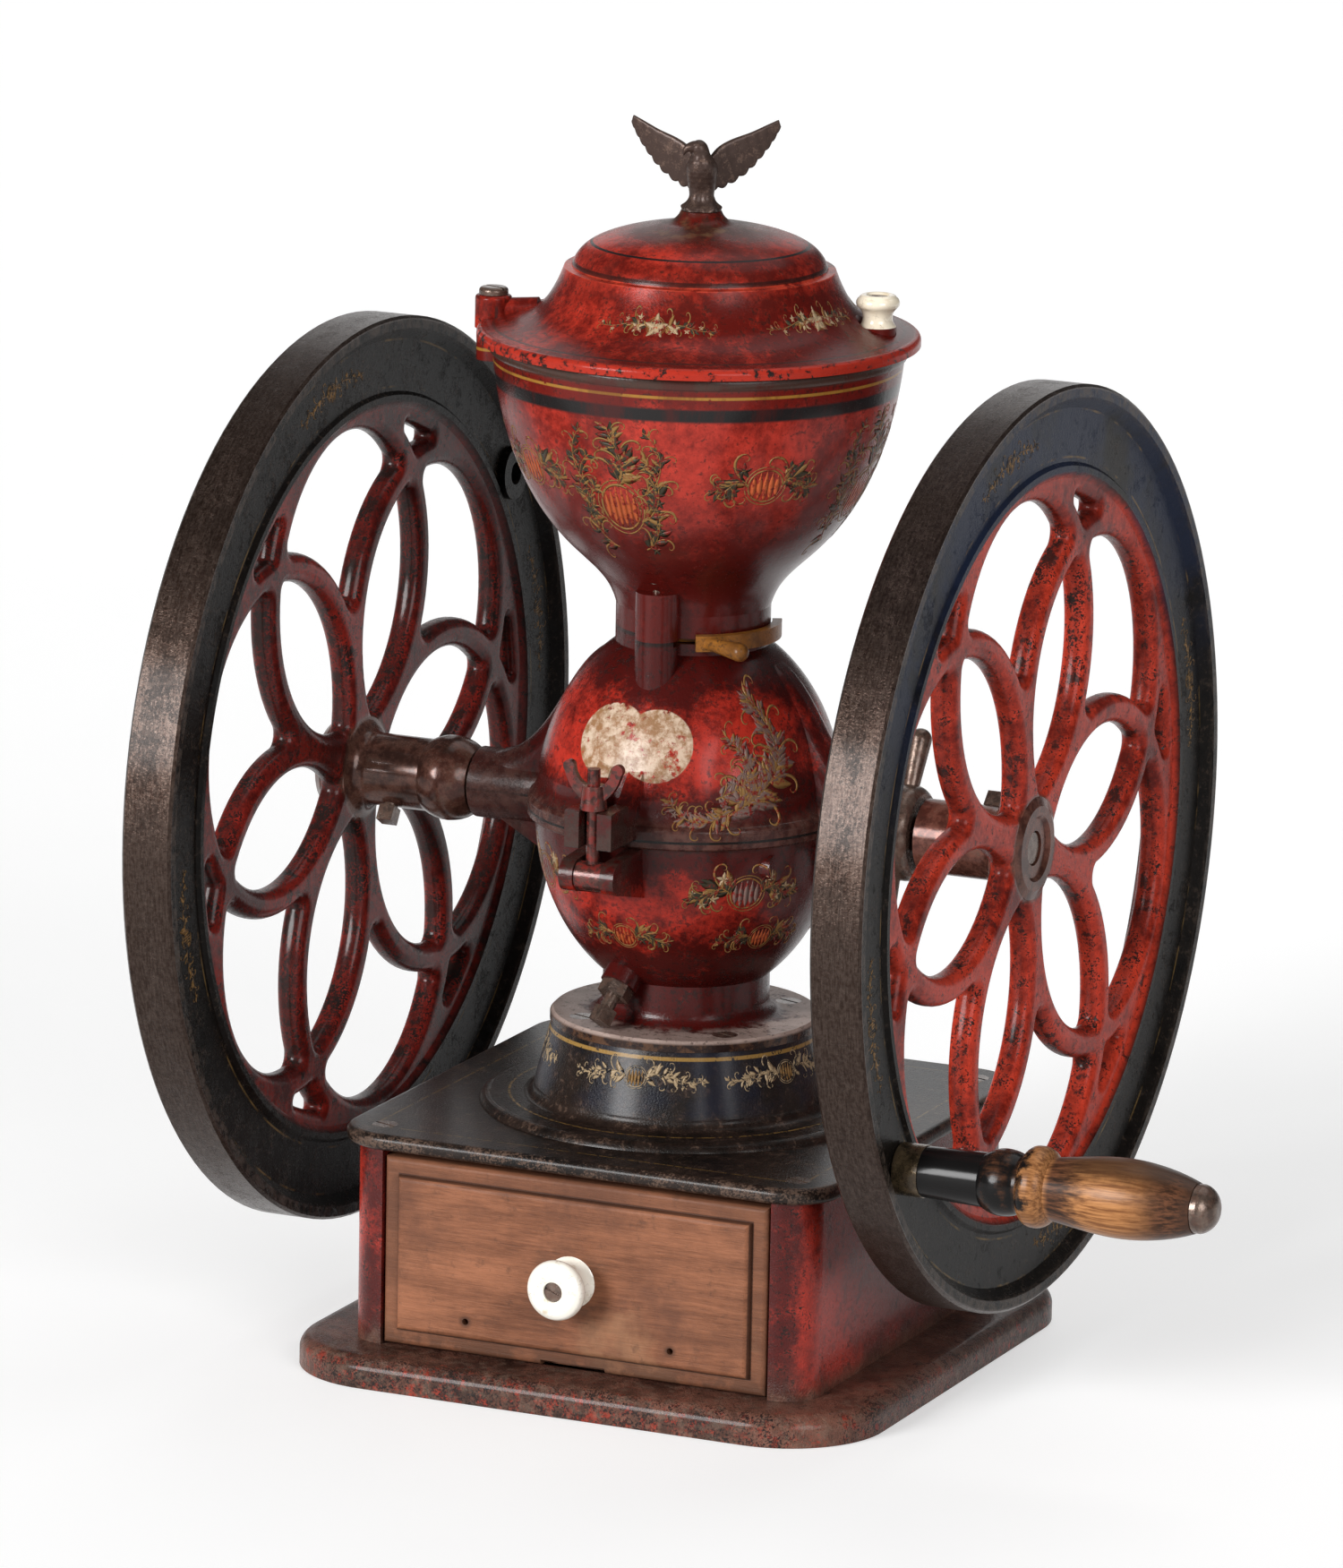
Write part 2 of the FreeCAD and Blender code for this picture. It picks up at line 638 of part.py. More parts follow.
def gate_pocket():
    """Space in the neck that the gate fills when shut and sweeps through as it swings out."""
    pivot = V(0, -BOSS_AT, SLOT_FLOOR)
    far = BOSS_AT + GATE_RADIUS + SEAT_GAP
    spread = math.degrees(math.asin((GATE_ARM + SEAT_GAP) / GATE_EAR))
    sweep = Part.makeCylinder(far, SLOT_HEIGHT, pivot, UP, GATE_SWING + spread)
    sweep.rotate(pivot, UP, 90 - GATE_SWING - spread)
    disc = rod(GATE_RADIUS + SEAT_GAP, V(0, 0, SLOT_FLOOR), V(0, 0, NECK_TOP))
    ear = rod(GATE_EAR + SEAT_GAP, pivot, pivot + UP * SLOT_HEIGHT)
    side = GATE_ARM + SEAT_GAP
    arm = block(-side, side, -BOSS_AT, 0, SLOT_FLOOR, NECK_TOP)
    return [sweep, disc, ear, arm]


def upper_housing():
    """Upper half of the case: dome, neck, bearing caps, webs, fork, boss and hinge knuckle."""
    dome_top = SHAFT_Z + oval_height(CASE_RADIUS, CASE_RISE, NECK_HIGH)
    lip_top = SHAFT_Z + LIP_HIGH
    at_flare = oval_radius(CASE_RADIUS, CASE_RISE, lip_top + LIP_FLARE)
    body = turned(
        (0, SHAFT_Z),
        (LIP_RADIUS, SHAFT_Z),
        (LIP_RADIUS, SHAFT_Z + LIP_HIGH * 0.5),
        [(LIP_RADIUS - 0.6, lip_top - 1.2), (LIP_RADIUS - 2, lip_top)],
        [(at_flare + 1.2, lip_top + LIP_FLARE / 3), (at_flare, lip_top + LIP_FLARE)],
        oval_points(CASE_RADIUS, CASE_RISE, lip_top + LIP_FLARE, dome_top, 5),
        (NECK_HIGH, NECK_TOP),
        (0, NECK_TOP),
    )
    arms = bearing_arm(SHAFT_Z, SHAFT_Z + BEARING_RADIUS)
    webs = []
    for end, side in ((BEARING_LEFT, -1), (BEARING_RIGHT, 1)):
        crown = SHAFT_Z + BEARING_RADIUS - 1
        profile = outline(
            lambda x, z: V(side * x, -WEB_THICK / 2, z),
            (NECK_HIGH - 8, SHAFT_Z + 2),
            (NECK_HIGH - 8, dome_top),
            [(CASE_RADIUS * 0.74, dome_top - 18), (CASE_RADIUS * 0.98, SHAFT_Z + 43), (abs(end) - 9, crown)],
            (abs(end) - 9, SHAFT_Z + 2),
        )
        web = Part.Face(profile).extrude(V(0, WEB_THICK, 0))
        long_edges = [e for e in web.Edges if isinstance(e.Curve, Part.BSplineCurve)]
        webs.append(web.makeFillet(WEB_THICK * 0.4, long_edges))
    front_boss = rod(BOSS_RADIUS, V(0, -BOSS_AT, NECK_TOP - BOSS_REACH), V(0, -BOSS_AT, NECK_TOP))
    rear_boss = rod(BOSS_RADIUS, V(0, BOSS_AT, NECK_TOP - BOSS_REACH), V(0, BOSS_AT, NECK_TOP))
    tip = EAR_INNER - SEAT_GAP
    knuckle = rod(HINGE_EAR, V(-tip, HINGE_Y, SHAFT_Z), V(tip, HINGE_Y, SHAFT_Z))
    strap = block(-tip, tip, CASE_RADIUS * 0.95, HINGE_Y, SHAFT_Z, SHAFT_Z + HINGE_EAR)
    outside = fused(body, arms, *webs, front_boss, rear_boss, *fork_lugs(), knuckle, strap)
    crest = V(BEARING_LEFT + OIL_HOLE_IN, 0, SHAFT_Z + BEARING_RADIUS)
    oil = rod(OIL_HOLE, crest - UP * BEARING_RADIUS, crest + UP * BEARING_RADIUS)
    dish = taper(OIL_HOLE, 2 * OIL_HOLE, crest - UP * OIL_HOLE, crest + UP * OIL_HOLE)
    deep = NECK_TOP - HOPPER_SCREW_BELOW
    screws = [rod(HOPPER_SCREW, V(0, y, deep), V(0, y, NECK_TOP)) for y in (-BOSS_AT, BOSS_AT)]
    return outside.cut([case_inside(), bearing_bores(), oil, dish, hinge_hole()] + screws + gate_pocket())


def bowl_at(out, up):
    """Point of the bowl's outline, as shares of the way out to the rim and up to the top."""
    return (NECK_HIGH + (HOPPER_RIM - NECK_HIGH) * out, NECK_TOP + HOPPER_HEIGHT * up)


def bowl_inside(out, up, lift):
    """Point of the bowl's inside, a wall in from the outline and lifted by a share of the wall."""
    radius, height = bowl_at(out, up)
    return (radius - HOPPER_WALL, height + HOPPER_WALL * lift)


def hopper():
    """Bean bowl with a beaded rim, two screw bosses under it and a lug for the lid."""
    bead = HOPPER_TOP - HOPPER_BEAD
    bead_in = HOPPER_BEAD / 8
    under_bead = HOPPER_RIM - HOPPER_BEAD / 3
    side = [bowl_at(0.079, 0.155), bowl_at(0.355, 0.284), bowl_at(0.673, 0.477), bowl_at(0.886, 0.733)]
    outer = turned(
        (0, NECK_TOP),
        (NECK_HIGH, NECK_TOP),
        bowl_at(0, 0.077),
        side + [(under_bead, bead)],
        (HOPPER_RIM - bead_in, bead),
        [(HOPPER_RIM, bead + HOPPER_BEAD / 2), (HOPPER_RIM - bead_in, HOPPER_TOP)],
        (0, HOPPER_TOP),
    )
    wall_points = [
        bowl_inside(0.355, 0.284, 0.7),
        bowl_inside(0.673, 0.477, 0.5),
        bowl_inside(0.886, 0.733, 0.2),
    ]
    inside = turned(
        (0, NECK_TOP),
        (THROAT, NECK_TOP),
        (THROAT, NECK_TOP + HOPPER_HEIGHT * 0.11),
        wall_points + [(under_bead - HOPPER_WALL, HOPPER_TOP)],
        (0, HOPPER_TOP),
    )
    pivot = around(LID_PIVOT_R, LID_PIVOT_ANGLE, HOPPER_TOP)
    lug = rod(LID_BOSS - 1, pivot - UP * LUG_DEPTH, pivot)
    tapped = rod(LID_PIVOT_PIN, pivot - UP * LUG_TAP, pivot)
    bosses = []
    screws = []
    for y in (-BOSS_AT, BOSS_AT):
        foot = V(0, y, NECK_TOP)
        seat = foot + UP * HOPPER_SCREW_ABOVE
        bosses.append(rod(BOSS_RADIUS, foot, foot + UP * BOSS_REACH))
        screws.append(rod(HOPPER_SCREW, foot, seat))
        screws.append(rod(2 * HOPPER_SCREW + 1, seat, seat + UP * HOPPER_SCREW_ABOVE))
    return fused(outer, lug, *bosses).cut([inside, tapped] + screws)


def hopper_screw(y):
    """Round-headed screw from the bowl down into the case."""
    seat = V(0, y, NECK_TOP + HOPPER_SCREW_ABOVE)
    shank = rod(HOPPER_SCREW, V(0, y, NECK_TOP - HOPPER_SCREW_BELOW), seat)
    head = rod(2 * HOPPER_SCREW, seat, seat + UP * HOPPER_SCREW)
    return slotted(fused(shank, head), 1.4, 1.4, seat + UP * HOPPER_SCREW, UP, 3 * HOPPER_SCREW)


def feed_gate():
    """Flat gate in the throat, pivoting on the front screw, with an outside rim and a tapered handle."""
    low = SLOT_FLOOR + SEAT_GAP
    high = NECK_TOP - SEAT_GAP
    pivot = V(0, -BOSS_AT, low)
    thick = high - low
    disc = rod(GATE_RADIUS, V(0, 0, low), V(0, 0, high))
    ear = rod(GATE_EAR, pivot, pivot + UP * thick)
    arm = block(-GATE_ARM, GATE_ARM, -BOSS_AT, 0, low, high)
    span = GATE_RIM_TO - GATE_RIM_FROM
    middle = (low + high) / 2
    rim_low = middle - GATE_RIM_HEIGHT / 2
    sheet = Part.makeCylinder(GATE_RIM_OUTER, thick, V(0, 0, low), UP, span)
    rim = Part.makeCylinder(GATE_RIM_OUTER, GATE_RIM_HEIGHT, V(0, 0, rim_low), UP, span)
    rim = rim.cut(rod(GATE_RIM_INNER, V(0, 0, rim_low - 1), V(0, 0, rim_low + GATE_RIM_HEIGHT + 1)))
    for piece in (sheet, rim):
        piece.rotate(V(0, 0, 0), UP, GATE_RIM_FROM - 90)
    base = around(GATE_RIM_OUTER - 2, GATE_RIM_FROM + 8, middle)
    lean = math.radians(GATE_HANDLE_LEAN)
    tip = base + V(GATE_HANDLE * math.cos(lean), -GATE_HANDLE * math.sin(lean), -1)
    handle = taper(GATE_HANDLE_NECK, GATE_HANDLE_END, base, tip)
    end = Part.makeSphere(GATE_HANDLE_END, tip)
    hole = rod(HOPPER_SCREW + RUNNING, V(0, -BOSS_AT, low), V(0, -BOSS_AT, high))
    return fused(disc, ear, arm, sheet, rim, handle, end).cut(hole)


def lid_at(out, up):
    """Point of the lid's section, as shares of its radius and its height."""
    return (LID_RADIUS * out, LID_BOTTOM + LID_HEIGHT * up)


def lid():
    """Domed lid with a flat flange, ogee shoulder, pivot boss and rib, and a seat for its knob."""
    low = LID_BOTTOM
    shell = turned(
        lid_at(0, 0.801),
        [lid_at(0.251, 0.794), lid_at(0.402, 0.730), lid_at(0.510, 0.617)],
        lid_at(0.561, 0.504),
        [lid_at(0.586, 0.362), lid_at(0.653, 0.220), lid_at(0.854, 0)],
        lid_at(1, 0),
        lid_at(1, 0.043),
        [lid_at(0.992, 0.071), lid_at(0.967, 0.085)],
        [lid_at(0.837, 0.142), lid_at(0.720, 0.241), lid_at(0.657, 0.383), lid_at(0.619, 0.525)],
        lid_at(0.611, 0.560),
        lid_at(0.577, 0.567),
        lid_at(0.573, 0.589),
        [lid_at(0.536, 0.688), lid_at(0.418, 0.801), lid_at(0.251, 0.872), lid_at(0.167, 0.901)],
        [lid_at(0.113, 0.943), lid_at(0.092, 1)],
        lid_at(0, 1),
    )
    pivot = around(LID_PIVOT_R, LID_PIVOT_ANGLE, low)
    boss = rod(LID_BOSS, pivot, pivot + UP * LID_BOSS_HEIGHT)
    boss = boss.makeFillet(2, edges_where(boss, lambda p: p.z > low + LID_BOSS_HEIGHT - 0.01))
    inner = around(LID_RADIUS * 0.74, LID_PIVOT_ANGLE, low)
    rib = taper(LID_BOSS * 0.7, LID_BOSS * 0.5, pivot + UP * LID_BOSS * 0.9, inner + UP * LID_BOSS * 1.3)
    knob_at = around(LID_KNOB_R, LID_KNOB_ANGLE, low)
    pad = rod(LID_KNOB_RADIUS - 1.5, knob_at + UP * LID_PAD_ROOT, knob_at + UP * LID_PAD)
    holes = [
        rod(LID_PIVOT_PIN + RUNNING, pivot, pivot + UP * LID_BOSS_HEIGHT),
        rod(LID_KNOB_SCREW, knob_at + UP * LID_PAD_ROOT, knob_at + UP * LID_PAD),
        rod(LID_KNOB_RADIUS, knob_at + UP * LID_PAD, knob_at + UP * 2 * LID_PAD),
    ]
    return fused(shell, boss, rib, pad).cut(holes)


def lid_pivot_screw():
    """Shoulder screw in the hopper's lug, with a domed slotted head above the lid's boss."""
    pivot = around(LID_PIVOT_R, LID_PIVOT_ANGLE)
    seat = V(pivot.x, pivot.y, LID_BOTTOM + LID_BOSS_HEIGHT + SEAT_GAP)
    shank = rod(LID_PIVOT_PIN, V(pivot.x, pivot.y, HOPPER_TOP - LUG_TAP), seat)
    head = rod(2 * LID_PIVOT_PIN, seat, seat + UP * LID_PIVOT_PIN)
    head_top = seat.z + LID_PIVOT_PIN
    head = head.makeFillet(LID_PIVOT_PIN * 0.6, edges_where(head, lambda p: p.z > head_top - 0.01))
    return slotted(fused(shank, head), 1.6, 1.4, seat + UP * LID_PIVOT_PIN, UP, 3 * LID_PIVOT_PIN)


def knob_body(radius, reach, bore):
    """Porcelain spool knob standing up from the origin, with a recess for its screw."""
    neck = radius * 0.68
    return turned(
        (bore, 0),
        (radius * 0.86, 0),
        [(neck, reach * 0.3), (radius * 0.9, reach * 0.6)],
        [(radius, reach * 0.78), (radius * 0.86, reach * 0.93)],
        [(radius * 0.55, reach), (2.2 * bore, reach * 0.95)],
        (2.2 * bore, reach * 0.8),
        (bore, reach * 0.8),
    )


def knob_screw(bore, reach, depth):
    """Slotted screw of a porcelain knob, standing on the same axis."""
    seat = reach * 0.8
    shank = rod(bore, V(0, 0, -depth), V(0, 0, seat))
    head = rod(2.1 * bore, V(0, 0, seat), V(0, 0, seat + bore))
    return slotted(fused(shank, head), 1.2, 1.0, V(0, 0, seat + bore), UP, 3 * bore)


def lid_knob_place(shape):
    """Knob or screw moved onto the lid's pad."""
    shape.translate(around(LID_KNOB_R, LID_KNOB_ANGLE, LID_BOTTOM + LID_PAD))
    return shape


def wing(side):
    """One raised wing: a thin blade whose outline sweeps up to a tip with stepped flight feathers."""
    blade = outline(
        lambda x, z: V(side * x, 0, z),
        (0, 12),
        (5, 29),
        [(17, 38), (33, 43), (51, 47.5)],
        [(49, 41), (45, 36)],
        [(43, 32), (38, 28)],
        [(35, 24), (29.5, 21)],
        [(23, 15), (9, 9)],
    )
    solid = Part.Face(blade).extrude(V(0, WING_THICK, 0))
    solid.rotate(V(0, 0, 0), UP, side * WING_SWEEP)
    return solid


def eagle_finial():
    """Cast bird with raised wings, head turned to its right, standing on a small turned foot."""
    foot = turned((0, 0), (11, 0), [(9, 3), (5, 6)], (4.5, 12), (0, 12))
    length = 15.0
    girth = 8.6
    body = Part.Face(outline(
        lambda r, z: V(r, 0, z),
        (0, -length),
        [(girth * 0.75, -length * 0.62), (girth, 0.1 * length), (girth * 0.72, length * 0.66), (0, length)],
    )).revolve(V(0, 0, 0), UP, 360)
    body.rotate(V(0, 0, 0), ALONG, 24)
    body.translate(V(0, 1, 19))
    head_at = V(-1.5, -4, 33.5)
    neck = taper(6.2, 4.2, V(0, -2, 26), head_at)
    head = Part.makeSphere(5.0, head_at)
    beak_tip = head_at + V(-8.5, -2.5, -3.0)
    beak = taper(3.0, 0.6, head_at + V(-2.6, -0.8, -0.4), beak_tip)
    tail = Part.Face(outline(
        lambda x, z: V(x, 5, z),
        (-4, 13),
        (4, 13),
        (7.5, -1),
        [(0, -3), (-7.5, -1)],
    )).extrude(V(0, 3.2, 0))
    tail.rotate(V(0, 5, 13), ALONG, 28)
    legs = [rod(2.6, V(x, -0.5, 3), V(x, 0.5, 14)) for x in (-3.6, 3.6)]
    bird = fused(foot, body, neck, head, beak, tail, wing(-1), wing(1), *legs)
    bird.rotate(V(0, 0, 0), UP, EAGLE_HEADING)
    bird.translate(V(0, 0, LID_TOP))
    return bird


def wheel_openings(centre_x):
    """Openings among six overlapping rings: petals, outer windows and small corner holes."""
    depth = 4 * WEB_HALF
    inner = RING_RADIUS - BAR_WIDTH / 2
    outer = RING_RADIUS + BAR_WIDTH / 2
    start = centre_x - depth / 2
    span = 360.0 / PETALS

    def ring_disc(k, radius):
        angle = PETAL_ANGLE + span / 2 + span * k
        foot = on_wheel(start, RING_CENTRE, angle)
        return rod(radius, foot, foot + ALONG * depth)

    rim_disc = rod(RIM_INNER - BAR_WIDTH / 2, V(start, 0, SHAFT_Z), V(start + depth, 0, SHAFT_Z))
    shapes = []
    for k in range(PETALS):
        petal = ring_disc(k, inner).common(ring_disc(k + 1, inner))
        neighbours = [ring_disc(k - 1, outer), ring_disc(k + 1, outer)]
        window = ring_disc(k, inner).cut(neighbours)
        corner = rim_disc.cut([ring_disc(j, outer) for j in range(PETALS)])
        piece_at = on_wheel(centre_x, RIM_INNER - BAR_WIDTH, PETAL_ANGLE + span * k)
        corner = min(corner.Solids, key=lambda s: (s.CenterOfMass - piece_at).Length)
        rounds = ((petal, OPENING_CORNER), (window, OPENING_CORNER), (corner, OPENING_CORNER / 2.5))
        for shape, radius in rounds:
            solid = max(shape.Solids, key=lambda s: (s.CenterOfMass - V(centre_x, 0, SHAFT_Z)).Length)
            along = [e for e in solid.Edges if e.Length > depth * 0.99 and isinstance(e.Curve, Part.Line)]
            shapes.append(solid.makeFillet(radius, along))
    return shapes


def wheel(centre_x, hub_profile, boss_angle, boss_end, bore, screw_x, screw_angle):
    """Flywheel casting: channelled rim, ring-pattern web, hub, handle boss and set screw hole."""
    lip = WHEEL_RADIUS - RIM_LIP
    deep = RIM_HALF - CHANNEL_DEPTH
    rim_side = [
        (RIM_HALF, WHEEL_RADIUS - 1.5),
        (RIM_HALF, lip),
        (deep, lip - CHANNEL_DEPTH),
        (deep, CHANNEL_INNER + 2),
        (deep + 2, CHANNEL_INNER),
        (deep + 2, CHANNEL_INNER - RIM_BEAD / 2),
        (WEB_HALF, RIM_INNER),
    ]
    right = [(centre_x + x, r) for x, r in rim_side]
    left = [(centre_x - x, r) for x, r in reversed(rim_side)]
    points = [(centre_x - RIM_HALF + 1.5, WHEEL_RADIUS), (centre_x + RIM_HALF - 1.5, WHEEL_RADIUS)]
    web_in = 1.25 * HUB_RADIUS
    disc = shaft_turned(*points, *right, (centre_x + WEB_HALF, web_in), (centre_x + WEB_HALF, SHAFT_RADIUS),
                        (centre_x - WEB_HALF, SHAFT_RADIUS), (centre_x - WEB_HALF, web_in), *left)
    disc = disc.cut(wheel_openings(centre_x))

    def on_opening(point):
        flat = abs(abs(point.x - centre_x) - WEB_HALF) < 0.01
        radius = math.hypot(point.y, point.z - SHAFT_Z)
        return flat and web_in + 1 < radius < RIM_INNER - 1

    disc = disc.makeFillet(BAR_ROUND, edges_where(disc, on_opening))
    hub = shaft_turned(*hub_profile)
    low = on_wheel(centre_x - RIM_HALF + 2, CRANK_R, boss_angle)
    high = on_wheel(boss_end, CRANK_R, boss_angle)
    boss = rod(CRANK_BOSS, low, high)
    hole = rod(bore, low - ALONG, high + ALONG)
    outside = on_wheel(screw_x, 2 * HUB_RADIUS, screw_angle)
    tapped = rod(SET_SCREW, on_wheel(screw_x, 0, screw_angle), outside)
    shaft_bore = rod(SHAFT_RADIUS, V(centre_x - 100, 0, SHAFT_Z), V(centre_x + 100, 0, SHAFT_Z))
    return fused(disc, hub, boss).cut([hole, tapped, shaft_bore])


def left_wheel():
    """Left flywheel, whose hub ends in a ball beside the bearing."""
    side = math.sqrt(BALL_RADIUS ** 2 - HUB_RADIUS ** 2)
    ball_end = BEARING_LEFT - BUSH_FACE - SEAT_GAP
    end_radius = math.sqrt(BALL_RADIUS ** 2 - (ball_end - BALL_X) ** 2)
    profile = [
        (LEFT_WHEEL_X - RIM_HALF + 2, SHAFT_RADIUS),
        (LEFT_WHEEL_X - RIM_HALF + 2, HUB_RADIUS + 3),
        (LEFT_WHEEL_X - WEB_HALF, 1.4 * HUB_RADIUS),
        (LEFT_WHEEL_X + WEB_HALF, 1.4 * HUB_RADIUS),
        [(LEFT_WHEEL_X + WEB_HALF + 2.5, HUB_RADIUS + 2.5), (LEFT_WHEEL_X + WEB_HALF + 8, HUB_RADIUS)],
        (BALL_X - side, HUB_RADIUS),
        [(BALL_X, BALL_RADIUS), (ball_end, end_radius)],
        (ball_end, SHAFT_RADIUS),
    ]
    boss_end = LEFT_WHEEL_X + RIM_HALF - 2
    return wheel(LEFT_WHEEL_X, profile, SPARE_ANGLE, boss_end, SPARE_BORE, LEFT_SCREW_X, LEFT_SCREW_ANGLE)


def right_wheel():
    """Right flywheel, with the crank spindle in its rim and a dished hub end."""
    start = ADJUST_END + HUB_GAP
    face = RIGHT_WHEEL_X + RIM_HALF - 5
    profile = [
        (start, SHAFT_RADIUS),
        (start, HUB_RADIUS),
        (RIGHT_WHEEL_X - WEB_HALF - 8, HUB_RADIUS),
        [(RIGHT_WHEEL_X - WEB_HALF - 2.5, HUB_RADIUS + 2.5), (RIGHT_WHEEL_X - WEB_HALF, 1.4 * HUB_RADIUS)],
        (RIGHT_WHEEL_X + WEB_HALF, 1.4 * HUB_RADIUS),
        (face, HUB_RADIUS + 3),
        (face, HUB_RADIUS - 2),
        (face - 2, HUB_RADIUS - 4),
        (face - 2, SHAFT_RADIUS + 4),
        (face - 8, SHAFT_RADIUS),
    ]
    boss_end = FERRULE_START - SEAT_GAP
    return wheel(
        RIGHT_WHEEL_X, profile, CRANK_ANGLE, boss_end, SPINDLE_RADIUS, RIGHT_SCREW_X, RIGHT_SCREW_ANGLE
    )


def set_screw(x, angle):
    """Square-headed set screw from a hub's surface down to the shaft."""
    tip = on_wheel(x, SHAFT_RADIUS, angle)
    seat = on_wheel(x, HUB_RADIUS, angle)
    outward = (seat - tip).normalize()
    tip = tip + outward * 0.5
    shank = rod(SET_SCREW, tip, seat + outward * 2)
    half = SET_HEAD / 2
    head = block(x - half, x + half, -half, half, HUB_RADIUS + 1, HUB_RADIUS + 1 + SET_HEAD)
    head.rotate(V(0, 0, 0), ALONG, angle - 90)
    head.translate(V(0, 0, SHAFT_Z))
    return fused(shank, head)


def main_shaft():
    """Plain shaft through both wheels, the bearings and the case."""
    left = LEFT_WHEEL_X - RIM_HALF + 4
    right = RIGHT_WHEEL_X + RIM_HALF - 8
    shaft = rod(SHAFT_RADIUS, V(left, 0, SHAFT_Z), V(right, 0, SHAFT_Z))
    return shaft.makeChamfer(1, edges_where(shaft, lambda p: p.x < left + 0.1 or p.x > right - 0.1))


def left_bush():
    """Bearing bush in the left barrel, with a flange that shows outside it."""
    inner = -CASE_RADIUS
    return shaft_turned(
        (BEARING_LEFT - BUSH_FACE, SHAFT_RADIUS + RUNNING),
        (BEARING_LEFT - BUSH_FACE, BUSH_RADIUS + 3),
        (BEARING_LEFT, BUSH_RADIUS + 3),
        (BEARING_LEFT, BUSH_RADIUS),
        (inner, BUSH_RADIUS),
        (inner, SHAFT_RADIUS + RUNNING),
    )


def right_sleeve():
    """Bearing sleeve in the right barrel, with a stout nose that carries the adjusting nut."""
    return shaft_turned(
        (CASE_RADIUS, SHAFT_RADIUS + RUNNING),
        (CASE_RADIUS, BUSH_RADIUS),
        (BEARING_RIGHT, BUSH_RADIUS),
        (BEARING_RIGHT, SLEEVE_RADIUS),
        (SLEEVE_END, SLEEVE_RADIUS),
        (SLEEVE_END, SHAFT_RADIUS + RUNNING),
    )


def adjusting_nut():
    """Round nut on the sleeve, with two tapered handles opposite each other."""
    waist = ADJUST_RADIUS - 4
    nut = shaft_turned(
        (ADJUST_START, SLEEVE_RADIUS + RUNNING),
        (ADJUST_START, waist),
        [(ADJUST_START + 3, ADJUST_RADIUS - 1), (ADJUST_START + 7, ADJUST_RADIUS)],
        (ADJUST_END - 7, ADJUST_RADIUS),
        [(ADJUST_END - 3, ADJUST_RADIUS - 1), (ADJUST_END, waist)],
        (ADJUST_END, SLEEVE_RADIUS + RUNNING),
    )
    middle = (ADJUST_START + ADJUST_END) / 2
    pieces = [nut]
    for turn in (0, 180):
        angle = 90 - ADJUST_LEAN + turn
        start = on_wheel(middle, ADJUST_RADIUS - 3, angle)
        end = on_wheel(middle, ADJUST_REACH - 6, angle)
        pieces.append(taper(4.5, 6.2, start, end))
        pieces.append(Part.makeSphere(6.2, end))
    return fused(*pieces)


def toothed_burr(face_x, facing, bore):
    """Grinding ring with radial ridges on one face."""
    back_x = face_x - facing * BURR_THICK
    low = min(face_x, back_x)
    ring = rod(BURR_RADIUS, V(low, 0, SHAFT_Z), V(low + BURR_THICK, 0, SHAFT_Z))
    ring = ring.cut(rod(bore, V(low, 0, SHAFT_Z), V(low + BURR_THICK, 0, SHAFT_Z)))
    depth = BURR_THICK / 3
    cutters = []
    for k in range(BURR_TEETH):
        groove = Part.Face(outline(
            lambda x, y: V(face_x - facing * x, y, SHAFT_Z + bore + 8),
            (-1, -BURR_GROOVE),
            (depth, 0),
            (-1, BURR_GROOVE),
        )).extrude(V(0, 0, BURR_RADIUS))
        groove.rotate(V(0, 0, SHAFT_Z), ALONG, 360.0 * k / BURR_TEETH)
        cutters.append(groove)
    return ring.cut(cutters)


def fixed_burr():
    """Standing ring, held on three bosses of the lower case."""
    return toothed_burr(BURR_X, -1, 24.0)


def rotating_burr():
    """Turning ring on the shaft, facing the standing one."""
    return toothed_burr(BURR_X - BURR_GAP, 1, SHAFT_RADIUS)


def feed_worm():
    """Feed screw on the shaft: lugs set round a sleeve in a rising spiral."""
    end = BURR_X - BURR_GAP - BURR_THICK
    worm_start = WORM_INSET - CASE_RADIUS
    core = shaft_turned(
        (worm_start, SHAFT_RADIUS),
        (worm_start, WORM_RADIUS),
        (end, WORM_RADIUS),
        (end, SHAFT_RADIUS),
    )
    lugs = []
    count = 8
    pitch = (end - worm_start - 12) / count
    for k in range(count):
        x = worm_start + 6 + pitch * (k + 0.5)
        lug = block(-5, 5, -4, 4, WORM_RADIUS - 2, WORM_LUG)
        lug.rotate(V(0, 0, 0), UP, 35)
        lug.rotate(V(0, 0, 0), ALONG, 75 * k)
        lug.translate(V(x, 0, SHAFT_Z))
        lugs.append(lug)
    return fused(core, *lugs)


def crank_axis(x):
    """Point on the crank's own axis."""
    return on_wheel(x, CRANK_R, CRANK_ANGLE)


def crank_turned(start, *steps):
    """Solid turned about the crank's axis from an outline of place along X and radius."""
    centre = crank_axis(0)
    wire = outline(lambda x, r: V(x, centre.y, centre.z + r), start, *steps)
    return Part.Face(wire).revolve(centre, ALONG, 360)


def crank_spindle():
    """Iron spindle fixed in the wheel, with a domed head beyond the grip."""
    head = GRIP_END + SEAT_GAP
    return crank_turned(
        (RIGHT_WHEEL_X - RIM_HALF + 1, 0),
        (RIGHT_WHEEL_X - RIM_HALF + 1, SPINDLE_RADIUS),
        (head, SPINDLE_RADIUS),
        (head, SPINDLE_HEAD),
        (head + 3, SPINDLE_HEAD),
        [(SPINDLE_END - 2.6, SPINDLE_HEAD * 0.7), (SPINDLE_END, SPINDLE_RADIUS / 2)],
        (SPINDLE_END, 0),
    )


